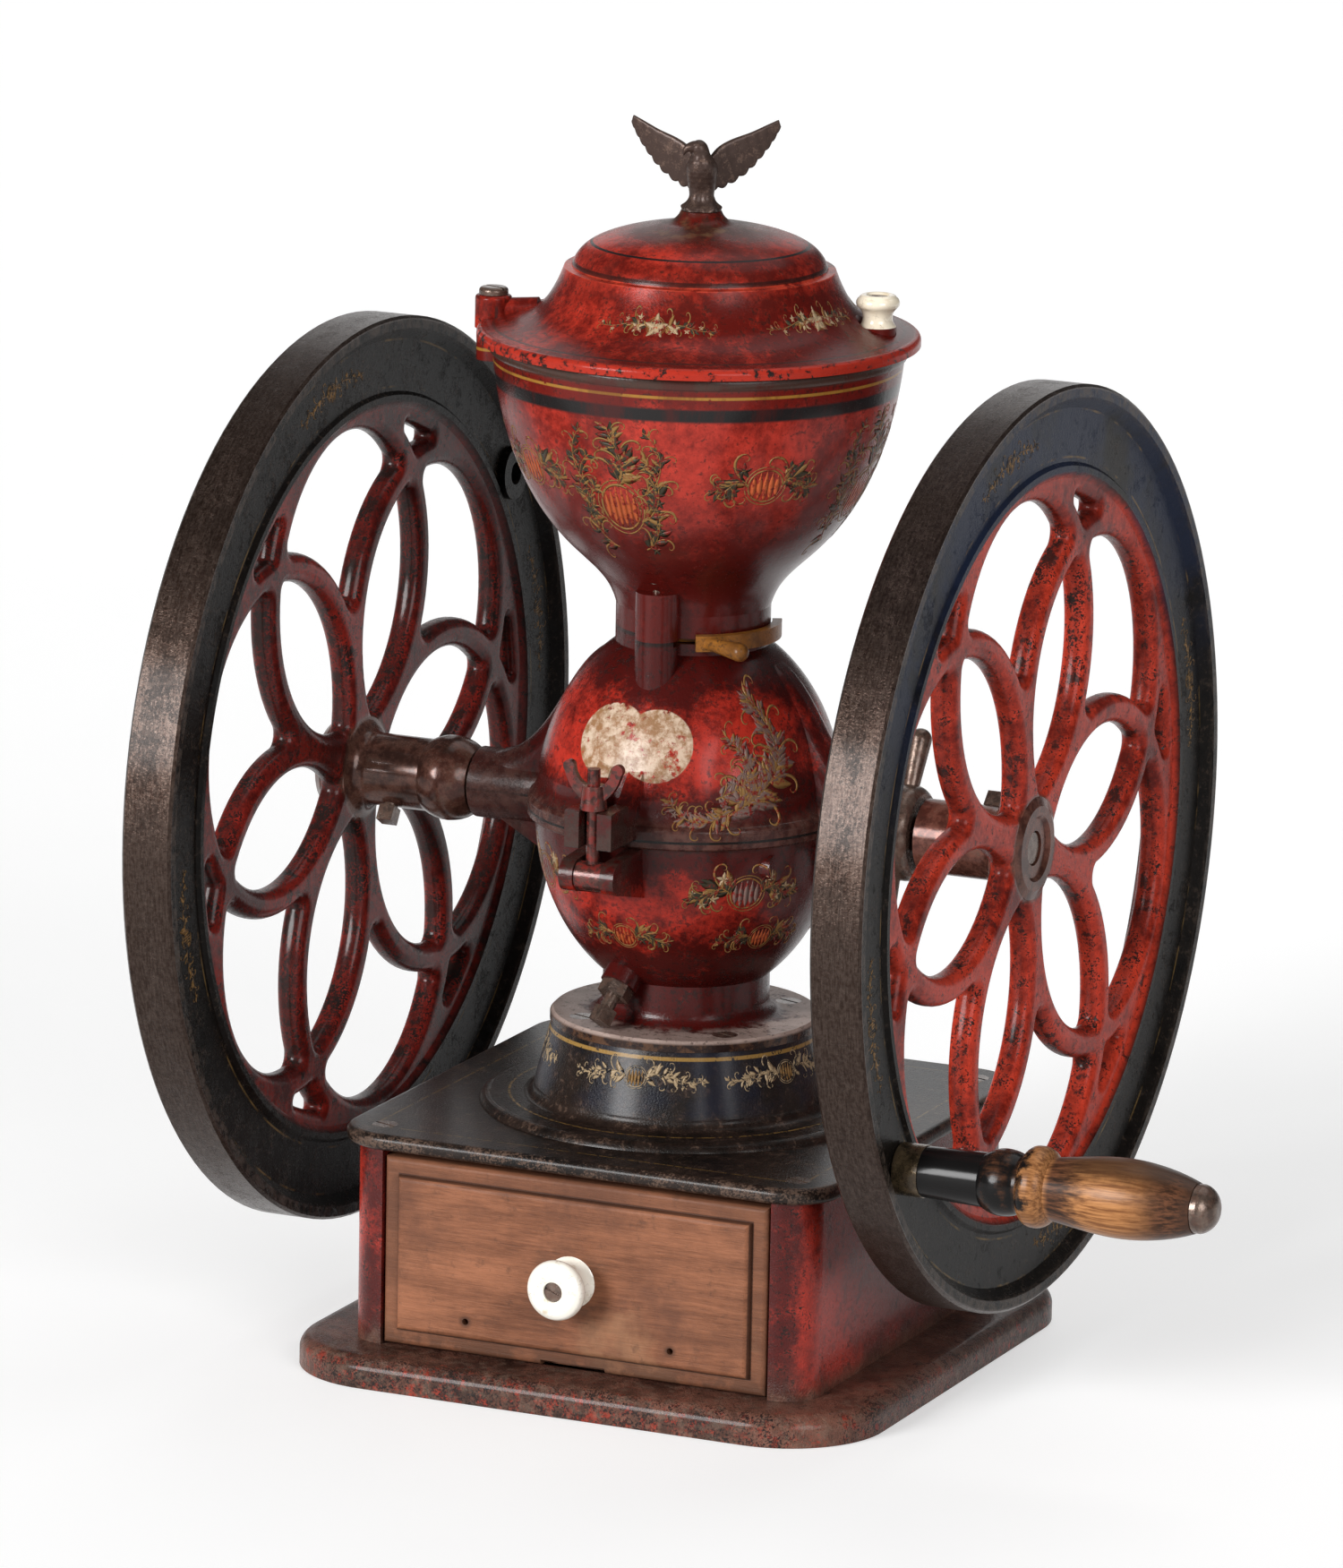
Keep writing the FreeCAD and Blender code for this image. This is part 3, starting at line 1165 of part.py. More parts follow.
def crank_ferrule():
    """Ring at the wheel end of the grip."""
    end = GRIP_START
    return crank_turned(
        (FERRULE_START, SPINDLE_RADIUS + RUNNING),
        (FERRULE_START, FERRULE_RADIUS - 1),
        (FERRULE_START + 1, FERRULE_RADIUS),
        (end, FERRULE_RADIUS),
        (end, SPINDLE_RADIUS + RUNNING),
    )


def crank_grip():
    """Turned wooden grip: tapered neck, raised bead and a long belly."""
    start = GRIP_START
    bead = start + GRIP_BEAD_AT
    waist = GRIP_SWELL - 2
    belly = [
        (bead + 20, GRIP_BEAD - 3),
        (bead + 42, GRIP_BEAD - 0.5),
        (bead + 68, GRIP_BEAD - 2.5),
        (GRIP_END, GRIP_NECK),
    ]
    return crank_turned(
        (start, SPINDLE_RADIUS + RUNNING),
        (start, GRIP_NECK),
        (bead - 31, GRIP_NECK + 1),
        [(bead - 25, GRIP_SWELL - 0.4), (bead - 18, GRIP_SWELL)],
        [(bead - 14, GRIP_SWELL - 0.8), (bead - 11, waist)],
        (bead - 9, waist),
        [(bead - 7, GRIP_BEAD - 1.8), (bead - 2, GRIP_BEAD)],
        [(bead + 4, GRIP_BEAD - 1.5), (bead + 7, waist + 1)],
        belly,
        (GRIP_END, SPINDLE_RADIUS + RUNNING),
    )


def swing_bolt():
    """Eye bolt that swings on the clamp pin, its shank standing up through the fork."""
    half = EAR_INNER - SEAT_GAP
    start = V(CLAMP_X - half, CLAMP_Y, CLAMP_Z)
    end = V(CLAMP_X + half, CLAMP_Y, CLAMP_Z)
    eye = rod(EAR_RADIUS - 1, start, end)
    shank = rod(BOLT_RADIUS, V(CLAMP_X, CLAMP_Y, CLAMP_Z), V(CLAMP_X, CLAMP_Y, CLAMP_Z + BOLT_LENGTH))
    return fused(eye, shank).cut(rod(CLAMP_PIN + RUNNING, start, end))


def wing_nut():
    """Wing nut on the swing bolt, with two rounded wings leaning outwards."""
    seat = CLAMP_Z + NUT_SEAT
    foot = V(CLAMP_X, CLAMP_Y, seat)
    hub = taper(7.5, 6.2, foot, foot + UP * 13)
    wings = []
    for side in (-1, 1):
        blade = Part.Face(outline(
            lambda x, z: V(CLAMP_X + side * x, CLAMP_Y - 1.8, seat + z),
            (3, 4),
            (5, 4),
            [(13, 12), (WING_SPAN - 0.5, 20)],
            [(15, 25.5), (11, 23.5)],
            [(9, 17), (3, 12.5)],
        )).extrude(V(0, 3.6, 0))
        wings.append(blade)
    return fused(hub, *wings).cut(rod(BOLT_RADIUS + RUNNING, foot - UP, foot + UP * 30))


def lock_screw():
    """Square-headed screw through the lower case."""
    middle, direction = lock_axis()
    start = middle - direction * (LOCK_NUT_THICK / 2 + 9)
    end = middle + direction * LOCK_REACH
    shank = rod(LOCK_SCREW, start, end)
    half = LOCK_HEAD / 2
    head = block(-half, half, -half, half, 0, LOCK_HEAD)
    head.Placement = FreeCAD.Placement(end - direction * 2, FreeCAD.Rotation(UP, direction))
    return fused(shank, head)


def lock_nut():
    """Hexagon nut that locks the screw against its pad."""
    middle, direction = lock_axis()
    corner = LOCK_NUT_FLATS / math.sqrt(3)
    turns = [k * math.pi / 3 for k in range(7)]
    points = [V(corner * math.cos(t), corner * math.sin(t), 0) for t in turns]
    nut = Part.Face(Part.makePolygon(points)).extrude(V(0, 0, LOCK_NUT_THICK))
    nut = nut.cut(rod(LOCK_SCREW, V(0, 0, -1), V(0, 0, LOCK_NUT_THICK + 1)))
    seat = middle - direction * (LOCK_NUT_THICK / 2)
    nut.Placement = FreeCAD.Placement(seat, FreeCAD.Rotation(UP, direction))
    return nut


def drawer_front():
    """Thick drawer front with a raised field inside a lower border, and a finger notch below."""
    back = DRAWER_FACE_Y + DRAWER_FRONT_THICK
    step = DRAWER_FACE_Y + DRAWER_FIELD_RISE
    board = block(-DRAWER_FRONT_HALF, DRAWER_FRONT_HALF, step, back, DRAWER_LOW + 1, DRAWER_TOP)
    edge = DRAWER_BORDER
    half = DRAWER_FRONT_HALF - edge
    field = block(-half, half, DRAWER_FACE_Y, step + 1, DRAWER_LOW + 1 + edge, DRAWER_TOP - edge)
    rims = edges_where(field, lambda p: abs(p.y - DRAWER_FACE_Y) < 0.01)
    field = field.makeFillet(DRAWER_FIELD_RISE * 0.8, rims)
    rims = edges_where(board, lambda p: abs(p.y - step) < 0.01)
    board = board.makeFillet(DRAWER_FIELD_RISE * 0.7, rims)
    notch = block(-NOTCH_HALF, NOTCH_HALF, DRAWER_FACE_Y, back, DRAWER_LOW, DRAWER_LOW + 4)
    bore = rod(DRAWER_SCREW, V(0, DRAWER_FACE_Y, DRAWER_KNOB_Z), V(0, back, DRAWER_KNOB_Z))
    inward = V(0, NAIL_DEPTH, 0)
    places = [V(x, DRAWER_FACE_Y, DRAWER_KNOB_Z - NAIL_BELOW) for x in (NAIL_LEFT, NAIL_RIGHT)]
    nails = [rod(NAIL_HOLE, place, place + inward) for place in places]
    return fused(board, field).cut([notch, bore] + nails)


def drawer_side(side):
    """Side board of the drawer."""
    back = DRAWER_FACE_Y + DRAWER_FRONT_THICK
    inner = side * (DRAWER_SIDE_HALF - DRAWER_BOARD)
    outer = side * DRAWER_SIDE_HALF
    return block(min(inner, outer), max(inner, outer), back, DRAWER_BACK_Y, DRAWER_LOW, DRAWER_SIDE_TOP)


def drawer_back():
    """Rear board between the drawer's sides."""
    half = DRAWER_SIDE_HALF - DRAWER_BOARD
    return block(-half, half, DRAWER_BACK_Y - DRAWER_BOARD, DRAWER_BACK_Y, DRAWER_LOW, DRAWER_SIDE_TOP)


def drawer_bottom():
    """Floor board between the drawer's sides, front and back."""
    half = DRAWER_SIDE_HALF - DRAWER_BOARD
    front = DRAWER_FACE_Y + DRAWER_FRONT_THICK
    return block(-half, half, front, DRAWER_BACK_Y - DRAWER_BOARD, DRAWER_LOW, DRAWER_LOW + DRAWER_BOARD)


def drawer_knob_place(shape):
    """Knob or screw turned to point forwards and moved onto the drawer's face."""
    shape.rotate(V(0, 0, 0), ALONG, 90)
    shape.translate(V(0, DRAWER_FACE_Y, DRAWER_KNOB_Z))
    return shape


def pin(x0, x1, y, z, radius):
    """Plain pin along X."""
    return rod(radius, V(x0, y, z), V(x1, y, z))


parts = {
    "base_box": base_box(),
    "top_plate": top_plate(),
    "lower_housing": lower_housing(),
    "upper_housing": upper_housing(),
    "hopper": hopper(),
    "hopper_screw_front": hopper_screw(-BOSS_AT),
    "hopper_screw_rear": hopper_screw(BOSS_AT),
    "lock_screw": lock_screw(),
    "lock_nut": lock_nut(),
    "rear_hinge_pin": pin(-EAR_OUTER, EAR_OUTER, HINGE_Y, SHAFT_Z, HINGE_PIN),
    "clamp_pin": pin(CLAMP_X - EAR_OUTER, CLAMP_X + EAR_OUTER, CLAMP_Y, CLAMP_Z, CLAMP_PIN),
    "fixed_burr": fixed_burr(),
    "left_bush": left_bush(),
    "right_sleeve": right_sleeve(),
    "lid_pivot_screw": lid_pivot_screw(),
    "lid": lid(),
    "eagle_finial": eagle_finial(),
    "lid_knob": lid_knob_place(knob_body(LID_KNOB_RADIUS, LID_KNOB_HEIGHT, LID_KNOB_SCREW)),
    "lid_knob_screw": lid_knob_place(knob_screw(LID_KNOB_SCREW, LID_KNOB_HEIGHT, LID_PAD - 5)),
    "feed_gate": feed_gate(),
    "swing_bolt": swing_bolt(),
    "wing_nut": wing_nut(),
    "drawer_front": drawer_front(),
    "drawer_left_side": drawer_side(-1),
    "drawer_right_side": drawer_side(1),
    "drawer_back": drawer_back(),
    "drawer_bottom": drawer_bottom(),
    "drawer_knob": drawer_knob_place(knob_body(DRAWER_KNOB_RADIUS, DRAWER_KNOB_REACH, DRAWER_SCREW)),
    "drawer_knob_screw": drawer_knob_place(knob_screw(DRAWER_SCREW, DRAWER_KNOB_REACH, DRAWER_FRONT_THICK)),
    "main_shaft": main_shaft(),
    "left_wheel": left_wheel(),
    "right_wheel": right_wheel(),
    "left_set_screw": set_screw(LEFT_SCREW_X, LEFT_SCREW_ANGLE),
    "right_set_screw": set_screw(RIGHT_SCREW_X, RIGHT_SCREW_ANGLE),
    "rotating_burr": rotating_burr(),
    "feed_worm": feed_worm(),
    "crank_spindle": crank_spindle(),
    "crank_grip": crank_grip(),
    "crank_ferrule": crank_ferrule(),
    "adjusting_nut": adjusting_nut(),
}
for number, place in enumerate(plate_screw_places(), start=1):
    parts["top_plate_screw_%d" % number] = countersunk_screw(place, PLATE_THICK + PLATE_SCREW_DEPTH)
for number, place in enumerate(flange_screw_places(), start=1):
    parts["flange_screw_%d" % number] = countersunk_screw(place, FLANGE_THICK + FLANGE_SCREW_DEPTH)

os.makedirs("parts", exist_ok=True)
for name, shape in parts.items():
    shape.exportStep("parts/%s.step" % name)
    print(name, "solids", len(shape.Solids), "valid", shape.isValid(), "volume", round(shape.Volume))
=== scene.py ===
import math

import bpy
import numpy as np
from mathutils import Matrix, Vector
from mathutils.bvhtree import BVHTree


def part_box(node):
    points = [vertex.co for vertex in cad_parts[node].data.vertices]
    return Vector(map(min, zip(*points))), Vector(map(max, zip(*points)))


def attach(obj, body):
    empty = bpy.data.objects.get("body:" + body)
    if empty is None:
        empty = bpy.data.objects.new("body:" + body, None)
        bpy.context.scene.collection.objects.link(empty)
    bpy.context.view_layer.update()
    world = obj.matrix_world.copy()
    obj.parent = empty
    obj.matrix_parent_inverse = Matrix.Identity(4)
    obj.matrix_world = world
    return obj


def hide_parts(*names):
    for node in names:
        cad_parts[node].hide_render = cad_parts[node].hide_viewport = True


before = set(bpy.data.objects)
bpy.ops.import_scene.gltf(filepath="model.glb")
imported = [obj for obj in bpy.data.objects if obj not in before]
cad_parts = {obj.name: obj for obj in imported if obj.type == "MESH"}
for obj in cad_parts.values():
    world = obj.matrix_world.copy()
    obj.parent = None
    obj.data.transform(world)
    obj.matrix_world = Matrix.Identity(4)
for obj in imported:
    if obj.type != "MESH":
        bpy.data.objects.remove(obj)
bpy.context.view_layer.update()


# Camera: a long lens 5.6 m away, 24 degrees towards the crank side and 13 degrees above.
# The picture is 1500 by 1751, so the 36 mm sensor lies along its height; the shift is the crop's.
picture_height = 1751
sensor_height = 36
focal_pixels = 11507.3
crop_right, crop_up = -45.94, -37.55
distance = 5.57936
yaw, pitch, roll = 0.4186, 0.2244, 0.02
aim = Vector((0.01297, 0, 0.33264))
back = Vector((math.sin(yaw) * math.cos(pitch), -math.cos(yaw) * math.cos(pitch), math.sin(pitch)))
level = Vector((math.cos(yaw), math.sin(yaw), 0))
rise = back.cross(level)
side = level * math.cos(roll) + rise * math.sin(roll)
top = rise * math.cos(roll) - level * math.sin(roll)
camera = bpy.data.objects.new("camera", bpy.data.cameras.new("camera"))
camera.data.lens = focal_pixels * sensor_height / picture_height
camera.data.shift_x = crop_right / picture_height
camera.data.shift_y = crop_up / picture_height
camera.data.clip_end = 200
facing = Matrix((side, top, back)).transposed().to_4x4()
camera.matrix_world = Matrix.Translation(aim + back * distance) @ facing
bpy.context.scene.collection.objects.link(camera)
bpy.context.scene.camera = camera


# Light: a dim pale surround and four broad, soft lamps, all far off, so that the floor is lit evenly.
# The key stands at the left front and the fill at the right, with one lamp above and a faint one behind.
bpy.context.scene.view_settings.view_transform = "Standard"
world = bpy.data.worlds.new("studio")
world.use_nodes = True
surround = world.node_tree.nodes["Background"]
surround.inputs["Color"].default_value = (1.0, 1.0, 1.0, 1.0)
surround.inputs["Strength"].default_value = 0.10
bpy.context.scene.world = world


def softbox(name, toward, strength, spread):
    """Distant lamp shining from a direction, as wide as a big soft screen."""
    lamp = bpy.data.lights.new(name, "SUN")
    lamp.energy = strength
    lamp.angle = math.radians(spread)
    held = bpy.data.objects.new(name, lamp)
    held.rotation_euler = Vector(toward).to_track_quat("Z", "Y").to_euler()
    bpy.context.scene.collection.objects.link(held)


softbox("key", (-0.40, -0.86, 0.32), 3.6, 24)
softbox("fill", (0.72, -0.62, 0.34), 1.62, 32)
softbox("overhead", (0.10, 0.40, 1.0), 0.70, 50)
softbox("rear", (-0.40, 0.89, 0.32), 0.24, 34)


# Floor: a plain pale sweep under the mill, matt, with the faintest unevenness.
# It is a round sheet as wide as the view needs and belongs to the stage, not to the mill.
# It shows pale to the camera and in reflections, and keeps the mill's shadow.
class Wire:
    """A shader socket that takes part in sums; node() adds any node with its settings and inputs."""

    def __init__(self, tree, socket):
        self.tree = tree
        self.socket = socket

    def node(self, kind, settings={}, out=0, inputs={}):
        made = self.tree.nodes.new("ShaderNode" + kind)
        for name, value in settings.items():
            setattr(made, name, value)
        for name, value in inputs.items():
            if isinstance(value, Wire):
                self.tree.links.new(value.socket, made.inputs[name])
            else:
                made.inputs[name].default_value = value
        return Wire(self.tree, made.outputs[out])

    def math(self, operation, other=0.0):
        return self.node("Math", {"operation": operation}, 0, {0: self, 1: other})

    def __add__(self, other):
        return self.math("ADD", other)

    __radd__ = __add__

    def __sub__(self, other):
        return self.math("SUBTRACT", other)

    def __rsub__(self, other):
        return self.node("Math", {"operation": "SUBTRACT"}, 0, {0: other, 1: self})

    def __mul__(self, other):
        return self.math("MULTIPLY", other)

    __rmul__ = __mul__

    def __pow__(self, other):
        return self.math("POWER", other)

    def __abs__(self):
        return self.math("ABSOLUTE")


def begin(name, specular=0.14, varnish=0.10, varnish_rough=0.17):
    """New material with its shader and the object's own coordinates."""
    made = bpy.data.materials.new(name)
    made.use_nodes = True
    shader = made.node_tree.nodes["Principled BSDF"]
    shader.inputs["Specular IOR Level"].default_value = specular
    shader.inputs["Coat Weight"].default_value = varnish
    shader.inputs["Coat Roughness"].default_value = varnish_rough
    coords = Wire(made.node_tree, None).node("TexCoord", out="Object")
    return made, shader, coords


def noise(coords, scale, detail=4.0, rough=0.6):
    """Cloudy noise about 0.5, with the scale in cycles per metre."""
    inputs = {"Vector": coords, "Scale": scale, "Detail": detail, "Roughness": rough}
    return coords.node("TexNoise", {}, "Fac", inputs)


def mix(share, first, second):
    """Colour from first to second by a share."""
    ends = [c if isinstance(c, Wire) else (*c, 1.0) for c in (first, second)]
    return share.node("Mix", {"data_type": "RGBA"}, 2, {0: share, 6: ends[0], 7: ends[1]})


def coat(shader, colour, roughness, height, depth=0.0003, metal=None, gloss=None):
    """Links colour, roughness, bump, metal share and varnish share into the shader."""
    bump = height.node("Bump", {}, 0, {"Strength": 0.55, "Distance": depth, "Height": height})
    links = height.tree.links
    links.new(colour.socket, shader.inputs["Base Color"])
    links.new(roughness.socket, shader.inputs["Roughness"])
    links.new(bump.socket, shader.inputs["Normal"])
    if metal is not None:
        links.new(metal.socket, shader.inputs["Metallic"])
    if gloss is not None:
        links.new(gloss.socket, shader.inputs["Coat Weight"])


floor_drop = 0.0004
floor_sides = 96
floor_circles = np.array([0.02, 0.6, 2.0, 8.0, 30.0])
floor_turns = np.linspace(0, 2 * np.pi, floor_sides, endpoint=False)
angles, radii = np.meshgrid(floor_turns, floor_circles)
floor_spots = np.stack([radii * np.cos(angles), radii * np.sin(angles), 0 * radii - floor_drop], -1)
inner = np.arange(len(floor_circles) - 1)[:, None] * floor_sides
outer = inner + floor_sides
here = np.arange(floor_sides)[None]
there = (here + 1) % floor_sides
floor_quads = np.stack([inner + here, outer + here, outer + there, inner + there], -1).reshape(-1, 4)
middle_face = list(range(floor_sides))
floor_mesh = bpy.data.meshes.new("floor")
floor_mesh.from_pydata(floor_spots.reshape(-1, 3).tolist(), [], floor_quads.tolist() + [middle_face])
floor = bpy.data.objects.new("floor", floor_mesh)
bpy.context.scene.collection.objects.link(floor)
floor_paint, shader, coords = begin("floor_paint", varnish=0.0)
cloud = noise(coords, 6)
coat(shader, mix(cloud, (0.57, 0.57, 0.57), (0.60, 0.60, 0.60)), cloud * 0.1 + 0.6, cloud, 0.0001)
rays = [coords.node("LightPath", out=f"Is {kind} Ray") for kind in ("Camera", "Glossy", "Transmission")]
seen = rays[0] + rays[1] + rays[2]
floor_paint.node_tree.links.new(seen.socket, shader.inputs["Emission Color"])
shader.inputs["Emission Strength"].default_value = 0.49
floor_mesh.materials.append(floor_paint)


# Base casting: plinth and drawer box in one iron casting, brush-painted red.
# The red is thin and stained brown, worn to dark iron along the plinth's edge and the box's corners.
def axes(coords):
    """The three coordinates as separate wires."""
    parted = coords.node("SeparateXYZ", inputs={0: coords})
    return [Wire(coords.tree, socket) for socket in parted.socket.node.outputs]


def smooth(value, low, high):
    """Soft step from 0 at low to 1 at high."""
    settings = {"interpolation_type": "SMOOTHSTEP"}
    return value.node("MapRange", settings, 0, {"Value": value, "From Min": low, "From Max": high})


def old_paint(coords, light, dark, bare, edge=0.0, chips=0.62, age_and_shade=0.0):
    """Light and dark clouds that age and painted shade deepen, black pores, and bare patches where noise and
    edge add up.
    """
    cloud = noise(coords, 16, 4, 0.55)
    patch = noise(coords, 95, 7, 0.74)
    grain = noise(coords, 850, 3, 0.6)
    tone = smooth(cloud * 0.45 + patch * 0.55 - age_and_shade * 0.28, 0.37, 0.59)
    colour = mix(tone, dark, light)
    fleck = noise(coords, 330, 5, 0.7)
    pores = smooth(fleck * 0.6 + patch * 0.4 + age_and_shade * 0.05, 0.53, 0.61)
    colour = mix(pores * 0.7, colour, bare)
    worn = smooth(patch * 0.5 + grain * 0.5 + edge, chips, chips + 0.05)
    return mix(worn, colour, bare), worn, grain, patch


def dress(made, *names):
    """Gives a material to CAD nodes."""
    for name in names:
        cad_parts[name].material_slots[0].material = made


foot_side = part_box("base_box")[1][0]
foot_top = 0.017
box_side = 0.136
box_front = -0.140
box_red, stained_red, bare_iron = (0.38, 0.033, 0.020), (0.060, 0.007, 0.006), (0.012, 0.007, 0.006)
foot_brown, foot_dark, foot_bare = (0.175, 0.074, 0.050), (0.030, 0.014, 0.010), (0.013, 0.009, 0.008)
base_finish, shader, coords = begin("base_finish", varnish=0.18)
x, y, z = axes(coords)
foot = smooth(z, foot_top + 0.013, foot_top - 0.003)
foot_edge = smooth(abs(x).math("MAXIMUM", abs(y)), foot_side - 0.020, foot_side) * 0.10
post = smooth(abs(x), box_side - 0.024, box_side - 0.002) * smooth(y, box_front + 0.012, box_front) * 0.05
# Painted shade: the box's front faces beside the drawer are darkened, the shade of the gap by the drawer.
post_front_shade = smooth(abs(x), box_side - 0.0002, box_side - 0.0015)
post_front_shade = post_front_shade * smooth(y, box_front + 0.008, box_front + 0.001)
outside = smooth(abs(x), box_side - 0.006, box_side - 0.001)
# The outer side walls are painted darker towards the back.
darkening = smooth(y + noise(coords, 30, 5) * 0.10, -0.060, 0.060) * outside
post_wear = post * 1.5 + 0.012
post_tone_and_shade = post_front_shade * 0.45 - 0.10
wall, worn, grain, cloud = old_paint(coords, box_red, stained_red, bare_iron, post_wear, 0.585, post_tone_and_shade)
wall = mix(darkening * 0.72, wall, (0.050, 0.016, 0.014))
splash = smooth(z, foot_top + 0.043, foot_top - 0.001) * smooth(noise(coords, 48, 5), 0.42, 0.62)
wall = mix(splash * 0.8, wall, (0.045, 0.018, 0.014))
plinth = old_paint(coords, foot_brown, foot_dark, foot_bare, foot_edge, 0.585)[0]
plinth = mix(smooth(noise(coords, 36, 7, 0.72), 0.48, 0.62) * 0.60, plinth, (0.021, 0.011, 0.008))
red_places = smooth(noise(coords, 26, 5, 0.6), 0.46, 0.60) * 0.05
edge_red = smooth(z, foot_top + 0.0001, foot_top - 0.0045)
edge_red = edge_red * smooth(noise(coords, 190, 8, 0.82) + red_places, 0.55, 0.62)
strip_red = smooth(y, box_front - 0.006, box_front - 0.020) * smooth(noise(coords, 150, 8, 0.80), 0.55, 0.63)
plinth = mix(edge_red.math("MAXIMUM", strip_red * 0.6) * 0.85, plinth, (0.300, 0.036, 0.019))
dust = smooth(noise(coords, 160, 5), 0.48, 0.66) * foot
colour = mix(dust * 0.35, mix(foot, wall, plinth), (0.20, 0.135, 0.10))
relief = grain * (foot * 3.0 + 0.6) + cloud * (foot * 0.9 + 0.5) - worn * 0.6
coat(shader, colour, worn * 0.12 + foot * 0.06 + grain * 0.16 + 0.18, relief, 0.0010)
dress(base_finish, "base_box")


# Drawer: old mahogany boards, brown with the grain running across, stained and rubbed on the front.
# Two nail holes and soft dark stains mark the face; a groove runs inside the darker moulded border.
def stretch(coords, factors):
    """Coordinates times a factor for each axis, so that noise runs long where the factor is small."""
    return coords.node("VectorMath", {"operation": "MULTIPLY"}, 0, {0: coords, 1: factors})


def line(value, centre, half):
    """Soft-edged stripe about a centre."""
    return smooth(abs(value - centre), half * 1.25, half * 0.75)


def spot(coords, place, size, soft=0.96):
    """Round patch about a point of the surface."""
    gap = coords.node("VectorMath", {"operation": "DISTANCE"}, "Value", {0: coords, 1: place})
    return smooth(gap, size, size * soft)


face_low, face_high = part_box("drawer_front")
face_y = face_low[1]
face_middle = (face_low[2] + face_high[2]) / 2
border_x, border_z = 0.105, 0.044
nail_z = 0.0375
wood_finish, shader, coords = begin("wood_finish", varnish=0.0)
x, y, z = axes(coords)
upright = abs(z - face_middle)
fine = noise(stretch(coords, (0.07, 1.0, 1.0)), 760, 6, 0.75)
broad = noise(stretch(coords, (0.12, 1.0, 1.0)), 60, 4, 0.6)
pore = noise(stretch(coords, (0.03, 1.0, 1.0)), 1500, 3, 0.6)
figure = fine * 0.35 + broad * 0.40 + noise(coords, 26, 6, 0.7) * 0.25
wood = mix(smooth(figure, 0.33, 0.66), (0.100, 0.038, 0.020), (0.310, 0.124, 0.064))
wood = mix(smooth(pore, 0.60, 0.68) * 0.5, wood, (0.050, 0.020, 0.011))
stain = smooth(noise(coords, 14, 6, 0.65), 0.47, 0.70)
wood = mix(stain * 0.75, wood, (0.095, 0.040, 0.025))
bleached = smooth(noise(coords, 20, 5), 0.54, 0.70) * smooth(z, 0.075, 0.055)
wood = mix(bleached * 0.5, wood, (0.30, 0.155, 0.083))
grime = smooth(noise(coords, 90, 5, 0.7), 0.56, 0.70)
wood = mix(grime * 0.5, wood, (0.070, 0.034, 0.022))
halo = spot(coords, (0.0, face_y, 0.064), 0.034, 0.4) * 0.6
halo = halo + spot(coords, (0.012, face_y, 0.030), 0.030, 0.3) * 0.30
wood = mix(halo * smooth(noise(coords, 60, 4), 0.36, 0.60), wood, (0.075, 0.038, 0.024))
damp = smooth(z, 0.034, 0.020) * smooth(noise(coords, 70), 0.40, 0.55)
wood = mix(damp * 0.7, wood, (0.045, 0.026, 0.018))
border = smooth(abs(x), border_x - 0.002, border_x)
border = border.math("MAXIMUM", smooth(upright, border_z - 0.002, border_z))
wood = mix(border * smooth(y, face_y + 0.016, face_y + 0.013) * 0.40, wood, (0.105, 0.044, 0.025))
side_groove = line(abs(x), border_x - 0.0010, 0.0008) * smooth(upright, border_z, border_z - 0.0006)
long_groove = line(upright, border_z - 0.0009, 0.0008) * smooth(abs(x), border_x, border_x - 0.0006)
groove = side_groove.math("MAXIMUM", long_groove) * smooth(y, face_y + 0.008, face_y + 0.005)
# Painted shade: the groove is painted dark.
wood = mix(groove * 0.7, wood, (0.028, 0.014, 0.010))
left_nail = spot(coords, (-0.062, face_y, nail_z), 0.0050, 0.3)
right_nail = spot(coords, (0.059, face_y, nail_z), 0.0046, 0.3)
wood = mix(left_nail.math("MAXIMUM", right_nail) * 0.7, wood, (0.030, 0.016, 0.011))
coat(shader, wood, stain * 0.12 + fine * 0.2 + 0.30, fine - pore * 0.5, 0.0004)
dress(wood_finish, "drawer_front", "drawer_left_side", "drawer_right_side", "drawer_back", "drawer_bottom")


# Porcelain knobs of drawer and lid: cream glaze with brown crazing and grime in the screw recess.
# Each is held by a slotted iron screw; the one on the lid has yellowed more.
glaze, shader, coords = begin("glaze", specular=0.5, varnish=0.5)
height = axes(coords)[2]
cracks = coords.node("TexVoronoi", {"feature": "DISTANCE_TO_EDGE"}, 0, {"Vector": coords, "Scale": 330.0})
craze = smooth(cracks, 0.030, 0.008) * smooth(noise(coords, 140), 0.50, 0.62)
grime = smooth(noise(coords, 130, 5), 0.56, 0.72)
cream = mix(noise(coords, 60), (0.84, 0.78, 0.65), (0.92, 0.89, 0.83))
cream = mix(grime * 0.55, cream, (0.42, 0.30, 0.15))
cream = mix(smooth(height, 0.30, 0.50) * 0.45, cream, (0.78, 0.62, 0.38))
cream = mix(craze * 0.6, cream, (0.16, 0.09, 0.045))
coat(shader, cream, grime * 0.2 + craze * 0.2 + 0.14, grime * 0.2 - craze, 0.0002)
dress(glaze, "drawer_knob", "lid_knob")


